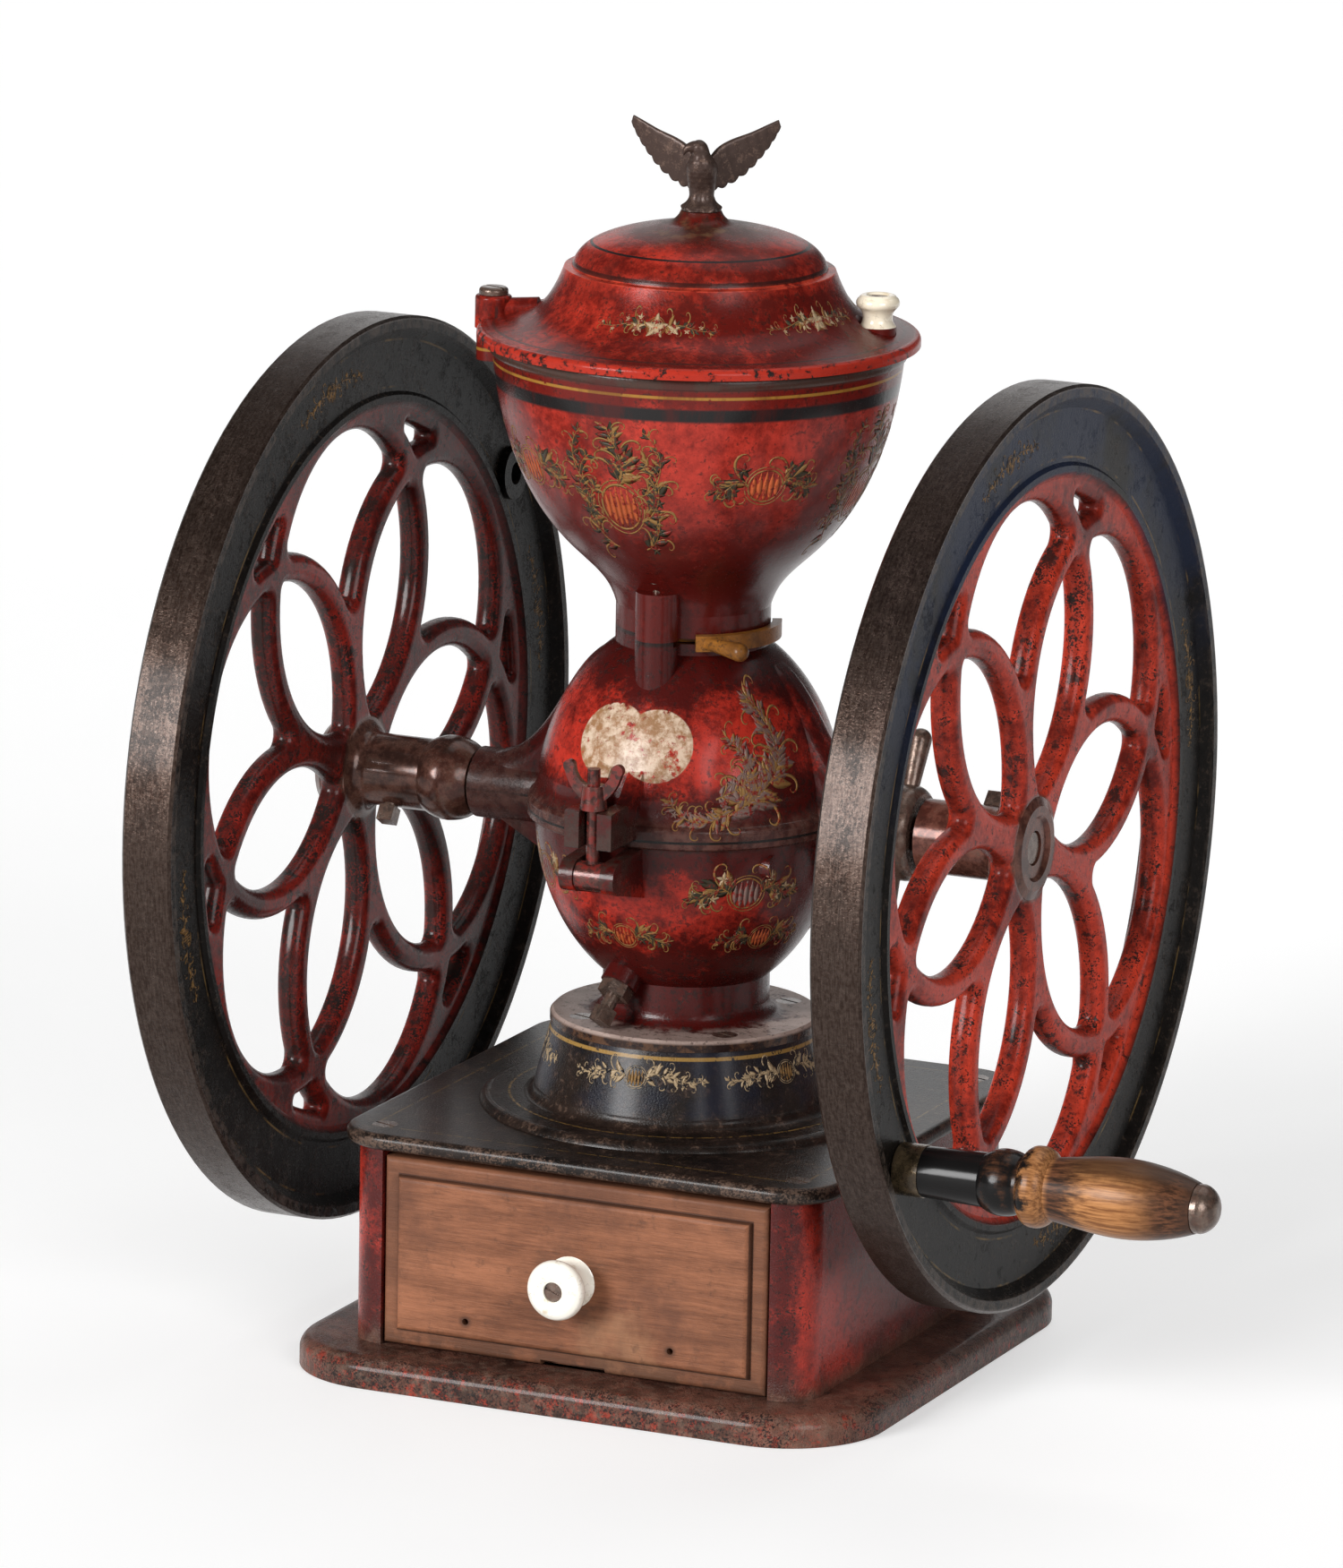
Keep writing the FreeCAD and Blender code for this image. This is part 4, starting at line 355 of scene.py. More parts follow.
# Top plate: black japanned casting with a raised disc and a blue-black pedestal cone, screwed on the box.
# Gold lines run inside the plate's edge, round the disc and under the pedestal's top.
plate_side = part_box("top_plate")[1][0]
pedestal_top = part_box("top_plate")[1][2]
plate_top = 0.135
plate_black, plate_dark, plate_bare = (0.023, 0.0140, 0.0105), (0.0050, 0.0038, 0.0032), (0.090, 0.056, 0.040)
plate_finish, shader, coords = begin("plate_finish", specular=0.13, varnish=0.18, varnish_rough=0.20)
x, y, z = axes(coords)
round_r = (x * x + y * y) ** 0.5
square_r = abs(x).math("MAXIMUM", abs(y))
corner_x = (abs(x) - (plate_side - 0.036)).math("MAXIMUM", 0.0)
corner_y = (abs(y) - (plate_side - 0.036)).math("MAXIMUM", 0.0)
corner_r = (corner_x ** 2.0 + corner_y ** 2.0) ** 0.5
rim = smooth((square_r - (plate_side - 0.009)).math("MAXIMUM", corner_r - 0.027), 0.0, 0.008)
black, worn, grain, cloud = old_paint(coords, plate_black, plate_dark, plate_bare, rim * 0.13, 0.63)
blue = smooth(z, plate_top + 0.008, plate_top + 0.015) * smooth(noise(coords, 22), 0.36, 0.58)
black = mix(blue * 0.75, black, (0.006, 0.008, 0.019))
on_disc = smooth(z, plate_top + 0.003, plate_top + 0.004) * smooth(z, plate_top + 0.007, plate_top + 0.006)
disc_line = line(round_r, 0.0955, 0.0007) * on_disc
edge_line = line(square_r, plate_side - 0.018, 0.0006) * smooth(z, plate_top + 0.002, plate_top - 0.001)
neck_line = line(z, pedestal_top - 0.0038, 0.0010) * smooth(round_r, 0.068, 0.071)
scuff = noise(coords, 300, 3)
gold = (disc_line * 0.8 + edge_line * 0.7) * smooth(scuff, 0.42, 0.52) + neck_line * smooth(scuff, 0.34, 0.42)
colour = mix(gold, black, (0.27, 0.155, 0.040))
coat(shader, colour, worn * 0.12 + grain * 0.16 + 0.22, grain * 1.2 + cloud * 0.35 - worn * 0.5, 0.0006)
dress(plate_finish, "top_plate")


# Pedestal ornament: gilt sprays laid on the black japanning in thin strokes of paint.
# Each stroke is a fine ridge about a tenth of a millimetre high, rubbed through in places.
edge_lift, ridge_lift, sunk = 0.00002, 0.00013, 0.00015
GOLD, CREAM, GREEN, ORANGE, GREY = 0.0, 0.2, 0.4, 0.6, 0.8


def leaf(x, y, angle, length, width, tone, bend=0.0):
    """Stroke that swells and tapers along a bending path of headings."""
    t = np.linspace(0, 1, 9)
    heading = angle + bend * t
    steps = np.stack([np.cos(heading), np.sin(heading)], 1) * length / 8
    path = np.array([x, y]) + np.vstack([[0, 0], np.cumsum(steps[:-1], 0)])
    return path, width * np.sin(np.pi * np.clip(t, 0.02, 0.98) ** 0.8), tone


def curl(x, y, angle, size, hand, width, tone):
    """Spiral stroke that winds in, its heading turning faster as its steps shrink."""
    t = np.linspace(0, 1, 26)
    heading = angle + hand * (1.2 * t + 5.2 * t ** 2)
    steps = np.stack([np.cos(heading), np.sin(heading)], 1) * (size / 9 * (1.05 - 0.85 * t))[:, None]
    path = np.array([x, y]) + np.vstack([[0, 0], np.cumsum(steps[:-1], 0)])
    return path, width * np.sin(np.pi * np.clip(t, 0.02, 0.97) ** 0.6), tone


def bloom(x, y, size, petal, eye):
    """Small flower: petals round an eye."""
    found = [leaf(x, y, k * 2 * np.pi / 5 + 0.3, size, size * 0.26, petal) for k in range(5)]
    return found + [leaf(x - size * 0.2, y, 0.0, size * 0.4, size * 0.2, eye)]


def oval(x, y, wide, tall, width, tone):
    """Oval line, closed on itself."""
    t = np.linspace(0, 2 * np.pi, 33)
    path = np.stack([x + wide * np.cos(t), y + tall * np.sin(t)], 1)
    return path, np.full(33, width), tone


def striped_oval(wide, tall, bars, line_tone, bar_tone):
    """Two thin ovals round a row of upright bars, each as tall as the oval is at its place."""
    found = [oval(0, 0, wide, tall, tall * 0.06, line_tone)]
    found.append(oval(0, 0, wide * 1.2, tall * 1.2, tall * 0.035, line_tone))
    for k in range(bars):
        place = wide * 1.7 * ((k + 0.5) / bars - 0.5)
        reach = tall * 0.93 * math.sqrt(1 - (place / wide) ** 2)
        found.append(leaf(place, -reach, np.pi / 2, 2 * reach, wide * 0.9 / bars, bar_tone))
    return found


def garland(path, reach, seed, tones, count):
    """Stem along a path with crowded small leaves, curls and flowers, as far out as reach allows."""
    rng = np.random.default_rng(seed)
    ahead = np.gradient(path, axis=0)
    heading = np.arctan2(ahead[:, 1], ahead[:, 0])
    last = len(path) - 1
    found = [(path, reach * 0.05 + 0 * heading, tones[0])]
    for k in range(count):
        at = rng.integers(1, last)
        hand = rng.choice((-1, 1))
        lean = heading[at] + hand * (0.3 + 1.1 * rng.random())
        size = reach[at] * (0.45 + 0.55 * rng.random())
        tone = tones[1] if rng.random() < 0.65 else tones[0]
        found.append(leaf(*path[at], lean, size, size * 0.21, tone, hand * (0.5 - 1.6 * rng.random())))
    for at in range(2, last, 4):
        hand = 1 if at % 8 < 4 else -1
        lean = heading[at] + hand * 0.6
        found.append(curl(*path[at], lean, reach[at] * 1.1, hand, reach[at] * 0.06, tones[0]))
    for at in range(5, last, 7):
        off = reach[at] * 0.45 * rng.choice((-1, 1))
        found += bloom(path[at, 0], path[at, 1] + off, reach[at] * 0.36, tones[2], tones[0])
    return found


def spray(width, height, seed, tones, count=34):
    """Band of ornament: a striped oval in the middle and a wavy garland to either side."""
    core = height * 0.30
    found = striped_oval(core, core * 0.95, 5, tones[0], tones[3])
    t = np.linspace(0, 1, 30)
    for hand in (-1, 1):
        u = hand * (core + t * (width / 2 - core))
        v = height * 0.13 * np.sin(t * 6.0) * (1 - 0.4 * t)
        found += garland(np.stack([u, v], 1), height * 0.46 * (1 - 0.62 * t), seed + hand, tones, count)
    return found


def round_case(angle, z, radius, tilt=0.0):
    """Rays from outside towards the upright axis, for a drawing about an angle and a height."""
    def cast(flat):
        u = flat[:, 0] * math.cos(tilt) - flat[:, 1] * math.sin(tilt)
        v = flat[:, 0] * math.sin(tilt) + flat[:, 1] * math.cos(tilt)
        turn = math.radians(angle) + u / radius
        out = np.stack([np.sin(turn), -np.cos(turn), 0 * turn], 1)
        start = out * 0.3
        start[:, 2] = z + v
        return start, -out
    return cast


def skin(rings, offset):
    """Faces over a stack of rings, each joined to the next, with a face at either end."""
    count, around = rings.shape[:2]
    row = np.arange(count - 1)[:, None] * around + offset
    here = np.arange(around)[None]
    there = (here + 1) % around
    quads = np.stack([row + here, row + there, row + around + there, row + around + here], -1)
    last = offset + (count - 1) * around
    ends = [list(range(offset + around - 1, offset - 1, -1)), list(range(last, last + around))]
    return quads.reshape(-1, 4).tolist() + ends


def piece(name, stacks, body, made, tones=None):
    """One object from several stacks of rings, riding on a body."""
    spots, faces, offset = [], [], 0
    for rings in stacks:
        faces += skin(rings, offset)
        spots.append(rings.reshape(-1, 3))
        offset += rings.shape[0] * rings.shape[1]
    mesh = bpy.data.meshes.new(name)
    mesh.from_pydata(np.vstack(spots).tolist(), [], faces)
    mesh.polygons.foreach_set("use_smooth", np.ones(len(mesh.polygons), bool))
    if tones is not None:
        values = np.concatenate([np.full(r.shape[0] * r.shape[1], t) for r, t in zip(stacks, tones)])
        mesh.attributes.new("tone", "FLOAT", "POINT").data.foreach_set("value", values.astype(np.float32))
    mesh.materials.append(made)
    made_object = bpy.data.objects.new(name, mesh)
    bpy.context.scene.collection.objects.link(made_object)
    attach(made_object, body)
    return made_object


def draw(name, node, body, made, drawings):
    """Casts the strokes of several drawings onto a node and raises a thin ridge of paint along each."""
    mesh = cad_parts[node].data
    tree = BVHTree.FromPolygons([v.co for v in mesh.vertices], [p.vertices for p in mesh.polygons])
    stacks, tones = [], []
    for strokes, cast in drawings:
        for path, half, tone in strokes:
            ahead = np.gradient(path, axis=0)
            ahead /= np.linalg.norm(ahead, axis=1)[:, None] + 1e-9
            left = np.stack([-ahead[:, 1], ahead[:, 0]], 1) * half[:, None]
            lines = []
            for flat in (path + left, path, path - left):
                start, way = cast(flat)
                hits = [tree.ray_cast(Vector(s), Vector(w)) for s, w in zip(start, way)]
                if any(h[0] is None for h in hits):
                    break
                at = np.array([h[0] for h in hits])
                out = np.array([h[1] if h[1].dot(Vector(w)) < 0 else -h[1] for h, w in zip(hits, way)])
                lines.append((at, out))
            if len(lines) < 3:
                continue
            (a, out_a), (m, out_m), (b, out_b) = lines
            upper = [a + out_a * edge_lift, m + out_m * ridge_lift, b + out_b * edge_lift]
            stacks.append(np.stack(upper + [m - out_m * sunk], 1))
            tones.append(tone)
    return piece(name, stacks, body, made, tones)


def gilding(name, under, wear):
    """Gold, cream, green, orange or grey by the stroke's tone, rubbed through to the colour under it."""
    made, shader, coords = begin(name)
    tone = coords.node("Attribute", {"attribute_name": "tone"}, "Fac")
    colour = mix(smooth(tone, 0.05, 0.15), (0.22, 0.118, 0.036), (0.36, 0.262, 0.155))
    colour = mix(smooth(tone, 0.25, 0.35), colour, (0.030, 0.026, 0.015))
    colour = mix(smooth(tone, 0.45, 0.55), colour, (0.40, 0.085, 0.026))
    colour = mix(smooth(tone, 0.65, 0.75), colour, (0.150, 0.095, 0.080))
    rub = noise(coords, 300, 6, 0.75)
    colour = mix(smooth(rub, wear, wear + 0.06), colour, under)
    coat(shader, colour, rub * 0.3 + 0.25, rub, 0.0001)
    return made


pedestal_spray = spray(0.077, 0.018, 3, (CREAM, CREAM, CREAM, GOLD))
on_black = gilding("gilding_on_black_finish", (0.010, 0.010, 0.013), 0.505)
draw("pedestal_ornament", "top_plate", "frame", on_black, [
    (pedestal_spray, round_case(angle, pedestal_top - 0.0145, 0.076)) for angle in (4, 70, 137, 203, 290)
])


# Grinding case: two red japanned castings, the lower on a dusty flange, with bearing barrels at the sides.
# The red is darkest round the lip, from dark paint and rust and from painted shade, the barrels are rubbed
# brown-black, and two worn gilt discs sit in front.
flange_top = 0.187
case_split = 0.300
case_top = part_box("upper_housing")[1][2]
case_red, case_deep = (0.45, 0.028, 0.015), (0.056, 0.0045, 0.0035)
case_finish, shader, coords = begin("case_finish", varnish=0.20)
x, y, z = axes(coords)
round_r = (x * x + y * y) ** 0.5
lip = smooth(abs(z - (case_split + 0.0025)), 0.013, 0.004) * smooth(round_r, 0.080, 0.087)
barrel = smooth(abs(x), 0.086, 0.098)
seat = smooth(z, flange_top + 0.009, flange_top + 0.001) * smooth(round_r, 0.048, 0.056)
seat = seat * smooth(z, flange_top - 0.0024, flange_top - 0.0008)
flange_side = smooth(z, flange_top - 0.0004, flange_top - 0.0020) * smooth(round_r, 0.066, 0.070)
rubbed = lip * 0.05 + barrel * 0.05 + smooth(z, case_top - 0.027, case_top - 0.010) * 0.02
rubbed = rubbed + smooth(z, flange_top + 0.045, flange_top + 0.018) * 0.03
# Painted shade: the red is darkened under the top, on the sides towards the barrels, round the lip and low
# above the flange.
age_and_shade = smooth(z, case_top - 0.047, case_top - 0.007) * 0.7 + smooth(abs(x), 0.052, 0.085) * 0.5
age_and_shade = age_and_shade + smooth(abs(z - (case_split + 0.001)), 0.034, 0.010) * 0.6
age_and_shade = age_and_shade + smooth(z, flange_top + 0.075, flange_top + 0.028) * 0.6
paint, worn, grain, cloud = old_paint(coords, case_red, case_deep, bare_iron, rubbed, 0.60, age_and_shade + 0.05)
rust = noise(coords, 130, 5, 0.7)
rusty = smooth(rust, 0.40, 0.60)
paint = mix(lip * 0.7, paint, mix(rusty, (0.036, 0.014, 0.011), (0.105, 0.050, 0.038)))
paint = mix(line(z, case_split, 0.0007) * smooth(round_r, 0.084, 0.087), paint, (0.008, 0.006, 0.005))
paint = mix(barrel * 0.7, paint, mix(rusty, (0.040, 0.015, 0.012), (0.085, 0.038, 0.030)))
paint = mix(smooth(z, case_top - 0.0035, case_top - 0.0010) * 0.9, paint, (0.010, 0.006, 0.005))
fork = smooth(y, -0.094, -0.099)
paint = mix(fork * smooth(rust, 0.42, 0.54) * 0.8, paint, (0.032, 0.018, 0.014))
left_disc = spot(coords, (-0.0142, -0.0731, 0.3500), 0.0215)
right_disc = spot(coords, (0.0122, -0.0730, 0.3495), 0.0205)
flake = noise(coords, 260, 5, 0.7) * 0.6 + noise(coords, 60, 4) * 0.4
gilt_left = smooth(flake, 0.60, 0.52) * left_disc.math("MAXIMUM", right_disc)
gilt = mix(smooth(noise(coords, 150, 6, 0.7), 0.38, 0.62), (0.27, 0.150, 0.070), (0.60, 0.47, 0.35))
paint = mix(gilt_left * 0.92, paint, gilt)
dust = mix(noise(coords, 80), (0.20, 0.145, 0.122), (0.56, 0.43, 0.375))
flange_rust = mix(smooth(rust, 0.46, 0.60), (0.012, 0.008, 0.007), (0.085, 0.042, 0.022))
paint = mix(flange_side * 0.9, paint, flange_rust)
paint = mix(seat * smooth(rust * 0.6 + round_r * 6.0, 0.56, 0.66) * 0.90, paint, dust)
paint = mix(seat * smooth(noise(coords, 240, 5, 0.7), 0.56, 0.64) * 0.7, paint, (0.040, 0.024, 0.018))
roughness = worn * 0.14 + grain * 0.14 + seat * 0.3 + gilt_left * 0.05 + 0.18
coat(shader, paint, roughness, grain * 0.7 + cloud * 0.8 - worn * 0.5 + seat * grain, 0.0006)
dress(case_finish, "lower_housing", "upper_housing")


# Case ornament: a tall gilt and grey swirl of leaves at each side of the upper casting.
# It is brushed on by hand like the pedestal's and follows the round of the case.
on_red = gilding("gilding_on_red_finish", (0.17, 0.014, 0.010), 0.515)
sweep = np.linspace(0, 1, 40)
tall_stem = np.stack([0.024 * np.sin(2.9 * sweep) - 0.004, -0.030 + 0.064 * sweep], 1)
low_stem = np.stack([-0.002 - 0.034 * sweep, -0.026 - 0.010 * np.sin(3 * sweep)], 1)
near_stem = np.stack([0.016 * np.sin(3.2 * sweep) - 0.012, -0.022 + 0.034 * sweep], 1)
swirl_tones = (GOLD, GREY, GREY)
swirl = garland(tall_stem, 0.017 * (1 - 0.4 * sweep), 11, swirl_tones, 120)
swirl += garland(low_stem, 0.010 * (1 - 0.5 * sweep), 12, swirl_tones, 50)
swirl += garland(near_stem, 0.011 * (1 - 0.4 * sweep), 13, swirl_tones, 60)
draw("case_ornament", "upper_housing", "frame", on_red, [
    (swirl, round_case(angle, 0.342, 0.077, tilt)) for angle, tilt in ((46, -0.2), (134, 0.2), (228, -0.2))
])


# Bowl ornament: two rows of sprays round the lower casting, the upper row larger and creamier.
# They are painted in the same thin strokes.
upper_spray = spray(0.064, 0.030, 14, (GOLD, GREEN, CREAM, GREY), 44)
lower_spray = spray(0.052, 0.021, 15, (GOLD, GREEN, GREEN, ORANGE))
upper_row = [(upper_spray, round_case(angle, 0.270, 0.080)) for angle in (47, 133, 227, 313)]
lower_row = [(lower_spray, round_case(angle, 0.2425, 0.070)) for angle in (-4, 58, 122, 176, 238)]
draw("bowl_ornament", "lower_housing", "frame", on_red, upper_row + lower_row)


# Hopper: cast bowl screwed on the case, red japanned, with a rubbed dark rim bead; painted shade darkens it
# towards the neck, under the rim and round the sides away from a lit front.
# A thin gold line and a broad black band run round it under the rim.
hopper_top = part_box("hopper")[1][2]
hopper_red, hopper_deep, hopper_bare = (0.44, 0.036, 0.022), (0.13, 0.009, 0.006), (0.018, 0.009, 0.007)
# Painted light: the bowl is brightest at a lit front 0.42 radians round towards the crank side.
lit_front_turn = 0.42
hopper_finish, shader, coords = begin("hopper_finish", varnish=0.18)
x, y, z = axes(coords)
bead = smooth(z, hopper_top - 0.0080, hopper_top - 0.0055)
neck = smooth(z, hopper_top - 0.045, hopper_top - 0.121)
turn_from_lit_front = abs(x.math("ARCTAN2", 0.0 - y) - lit_front_turn)
# Painted shade: darker towards the neck, in a band under the rim and round the sides away from the lit front.
age_and_shade = neck * 0.5 + smooth(z, hopper_top - 0.027, hopper_top - 0.009) * 0.5
age_and_shade = age_and_shade + smooth(turn_from_lit_front, 0.45, 1.5) * 0.30
paint, worn, grain, cloud = old_paint(coords, hopper_red, hopper_deep, hopper_bare, bead * 0.04, 0.625, age_and_shade)
# Painted shade: the bowl darkens towards the neck.
paint = mix(neck * 0.68, paint, (0.050, 0.005, 0.004))
paint = mix(line(z, hopper_top - 0.0205, 0.0036), paint, (0.014, 0.012, 0.012))
gold = line(z, hopper_top - 0.0108, 0.0008) * smooth(noise(coords, 240), 0.30, 0.40)
paint = mix(gold, paint, (0.30, 0.145, 0.026))
paint = mix(bead * 0.88, paint, (0.050, 0.034, 0.026))
smear = noise(stretch(coords, (1.0, 1.0, 0.14)), 60, 5, 0.65)
paint = mix(smooth(smear, 0.50, 0.66) * 0.5, paint, (0.070, 0.009, 0.007))
coat(shader, paint, worn * 0.14 + grain * 0.14 + 0.18, grain * 0.5 + cloud * 0.5 - worn * 0.5, 0.0005)
dress(hopper_finish, "hopper")


# Hopper ornament: upright cartouches of leaves round a striped oval, with a smaller spray between each two.
# They are painted in gold, dark green and orange on the red.
def medallion(width, height, seed, tones):
    """Upright cartouche: a striped oval low in a thick wreath of leaves, with a spreading crest above."""
    core = width * 0.19
    found = []
    t = np.linspace(0, 1, 26)
    for hand in (-1, 1):
        for lean, start, size in ((0.0, -0.40, 0.30), (0.35, -0.05, 0.34), (0.9, 0.22, 0.26)):
            turn = -1.3 + 2.4 * t
            u = hand * width * (0.10 + 0.26 * np.cos(turn) + 0.05 * lean)
            v = height * (start * 0.55 + 0.26 * np.sin(turn) + 0.10 * lean)
            reach = width * size * (0.62 - 0.30 * t)
            found += garland(np.stack([u, v], 1), reach, seed + hand + int(10 * lean), tones, 26)
    crest = np.stack([width * 0.06 * np.sin(4 * t), height * (0.02 + 0.44 * t)], 1)
    found += garland(crest, width * 0.26 * (1 - 0.5 * t), seed + 7, tones, 40)
    middle = striped_oval(core, core * 1.15, 6, tones[0], tones[3])
    return found + [(path + [0, -height * 0.14], half, tone) for path, half, tone in middle]


hopper_tones = (GOLD, GREEN, GREEN, ORANGE)
cartouche = medallion(0.060, 0.076, 5, hopper_tones)
small_spray = spray(0.056, 0.032, 8, hopper_tones)
cartouches = [(cartouche, round_case(angle, 0.4925, 0.096)) for angle in (-1, 92, 185, 278)]
small_sprays = [(small_spray, round_case(angle, 0.4965, 0.097)) for angle in (46, 139, 232, 322)]
draw("hopper_ornament", "hopper", "frame", on_red, cartouches + small_sprays)


# Feed gate: ochre painted iron, rubbed brown on its handle and edges.
# One thin casting that rides in the neck and swings on the front screw.
ochre, brown_ochre, gate_bare = (0.29, 0.112, 0.018), (0.12, 0.048, 0.013), (0.040, 0.020, 0.010)
gate_finish, shader, coords = begin("gate_finish")
paint, worn, grain = old_paint(coords, ochre, brown_ochre, gate_bare, 0.02, 0.60)[:3]
coat(shader, paint, worn * 0.2 + grain * 0.2 + 0.25, grain - worn * 0.6, 0.0003)
dress(gate_finish, "feed_gate")


# Lid: domed red casting on a pivot screw, brightest on its edge, where fresh red shows among black chips.
# A thin dark ring is scribed round the dome and soot darkens the top under the finial.
lid_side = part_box("lid")[1][0]
lid_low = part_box("lid")[0][2]
lid_step = lid_low + 0.0405
lid_red, lid_deep, lid_bare = (0.40, 0.028, 0.015), (0.085, 0.006, 0.004), (0.014, 0.008, 0.006)
lid_finish, shader, coords = begin("lid_finish", specular=0.07, varnish=0.10)
x, y, z = axes(coords)
round_r = (x * x + y * y) ** 0.5
edge = smooth(round_r, lid_side - 0.0050, lid_side - 0.0015) * smooth(z, lid_low + 0.0085, lid_low + 0.0045)
shoulder = smooth(round_r, 0.056, 0.064) * smooth(z, lid_step - 0.0015, lid_step + 0.0010)
# Painted shade darkens the ogee under the step and the shoulder; the paint is also darker towards the middle
# of the top.
age_and_shade = smooth(z, lid_step, lid_step - 0.010) * 0.30 + shoulder * 0.15 + smooth(round_r, 0.050, 0.020) * 0.6
paint, worn, grain, cloud = old_paint(coords, lid_red, lid_deep, lid_bare, edge * 0.04, 0.60, age_and_shade)
chip = noise(coords, 210, 7, 0.78) + smooth(noise(coords, 16, 4), 0.44, 0.60) * 0.06
chip = smooth(chip, 0.56, 0.60) * edge
paint = mix(edge * 0.8, paint, (0.42, 0.030, 0.016))
paint = mix(chip, paint, (0.016, 0.011, 0.010))
# Painted highlight: a thin bright red line along the edge of the step.
step_edge_highlight = line(z, lid_step - 0.0003, 0.0012) * smooth(round_r, 0.066, 0.069)
paint = mix(step_edge_highlight * smooth(noise(coords, 120), 0.42, 0.55) * 0.8, paint, (0.48, 0.05, 0.024))
# Painted shade: a dark line in the crease where the dome rises from the step.
step_crevice_shade = line(z, lid_step + 0.0012, 0.0012) * smooth(round_r, 0.064, 0.067)
paint = mix(step_crevice_shade * 0.85, paint, (0.014, 0.007, 0.006))
darkening = smooth(round_r, 0.052, 0.018) * smooth(noise(coords, 45), 0.34, 0.58)
sooty = mix(smooth(noise(coords, 70), 0.50, 0.62), (0.030, 0.020, 0.013), (0.150, 0.090, 0.045))
paint = mix(darkening * 0.80, paint, sooty)
patina = smooth(noise(coords, 34, 5), 0.44, 0.62) * smooth(z, lid_step - 0.026, lid_step)
paint = mix(patina * 0.40, paint, (0.060, 0.012, 0.009))
brim_line = line(round_r, lid_side - 0.0090, 0.0008) * smooth(z, lid_step - 0.026, lid_step - 0.029)
paint = mix(brim_line * 0.8, paint, (0.030, 0.012, 0.010))
dome_line = line(round_r, 0.0585, 0.0007) * smooth(z, lid_step + 0.002, lid_step + 0.006)
paint = mix(dome_line, paint, (0.012, 0.008, 0.008))
roughness = worn * 0.14 + chip * 0.12 + darkening * 0.15 + grain * 0.14 + 0.18
coat(shader, paint, roughness, grain * 0.5 + cloud * 0.5 - worn * 0.5 - chip, 0.0005)
dress(lid_finish, "lid")


# Lid ornament: four gilt sprays with cream flowers on the lid's slope.
# They are painted like the hopper's and swing with the lid.
lid_slope = 0.72


def from_above(angle, radius):
    """Rays straight down, for a drawing on the lid whose top points to the axis."""
    def cast(flat):
        turn = math.radians(angle) + flat[:, 0] / radius
        reach = radius - lid_slope * flat[:, 1]
        start = np.stack([reach * np.sin(turn), -reach * np.cos(turn), 0 * turn + 0.8], 1)
        return start, np.tile([0.0, 0.0, -1.0], (len(flat), 1))
    return cast


posy = spray(0.070, 0.0140, 17, (GOLD, GREEN, CREAM, CREAM), 26)
posy += bloom(0.0, 0.0, 0.0068, CREAM, ORANGE)
posy += bloom(-0.010, 0.0, 0.0042, CREAM, GOLD)
posy += bloom(0.010, 0.0, 0.0042, CREAM, GOLD)
lid_sprays = [(posy, from_above(angle, 0.0825)) for angle in (8, 74, 140, 206)]
draw("lid_ornament", "lid", "lid", on_red, lid_sprays)


# Finial: a small bronzed casting of a bird with raised wings, standing on a round foot on the lid.
# Trunk, head, wings and tail are carved with feathers; it takes the plain CAD bird's place.
# Its sizes are in millimetres from the middle of the foot until it is set on the lid.
def stack(centres, wide, deep, count, carve):
    """Rings round a rising line of centres, oval in plan, with a carving factor by turn and level."""
    turn = np.linspace(0, 2 * np.pi, count, endpoint=False)
    level = np.arange(len(wide))
    factor = carve(turn[None], level[:, None])
    x = centres[:, 0, None] + wide[:, None] * np.cos(turn) * factor
    y = centres[:, 1, None] + deep[:, None] * np.sin(turn) * factor
    z = np.repeat(centres[:, 2, None], count, 1)
    return np.stack([x, y, z], -1)


def fair(knots, count):
    """Smooth rows through knot rows: cubics that leave each knot along the chord of its neighbours."""
    knots = np.array(knots, float)
    t = np.linspace(0, len(knots) - 1, count)
    k = np.clip(t.astype(int), 0, len(knots) - 2)
    s = (t - k)[:, None]
    before = knots[np.maximum(k - 1, 0)]
    after = knots[np.minimum(k + 2, len(knots) - 1)]
    a, b = knots[k], knots[k + 1]
    curve = (2 * before - 5 * a + 4 * b - after) * s ** 2 + (3 * a - before - 3 * b + after) * s ** 3
    return 0.5 * (2 * a + (b - before) * s + curve)


plan = fair([
    (0, 0, 0.2, 10.4, 10.4), (0, 0, 2.2, 10.2, 9.6), (0, 0, 4.6, 8.2, 6.6), (0, 0.2, 7.5, 6.8, 5.4),
    (0, 0.4, 11, 6.9, 5.6), (0, 0.4, 15, 7.5, 6.6), (0, -0.3, 19.5, 8.2, 7.8), (0, -1.4, 24, 8.2, 7.9),
    (0, -2.6, 28, 6.6, 6.6), (-0.4, -3.4, 31, 5.0, 5.2), (-1.2, -4.0, 34, 4.9, 5.0),
    (-1.5, -4.2, 36.6, 4.0, 4.2), (-1.5, -4.2, 38.3, 2.0, 2.2), (-1.5, -4.2, 38.8, 0.4, 0.4)], 74)


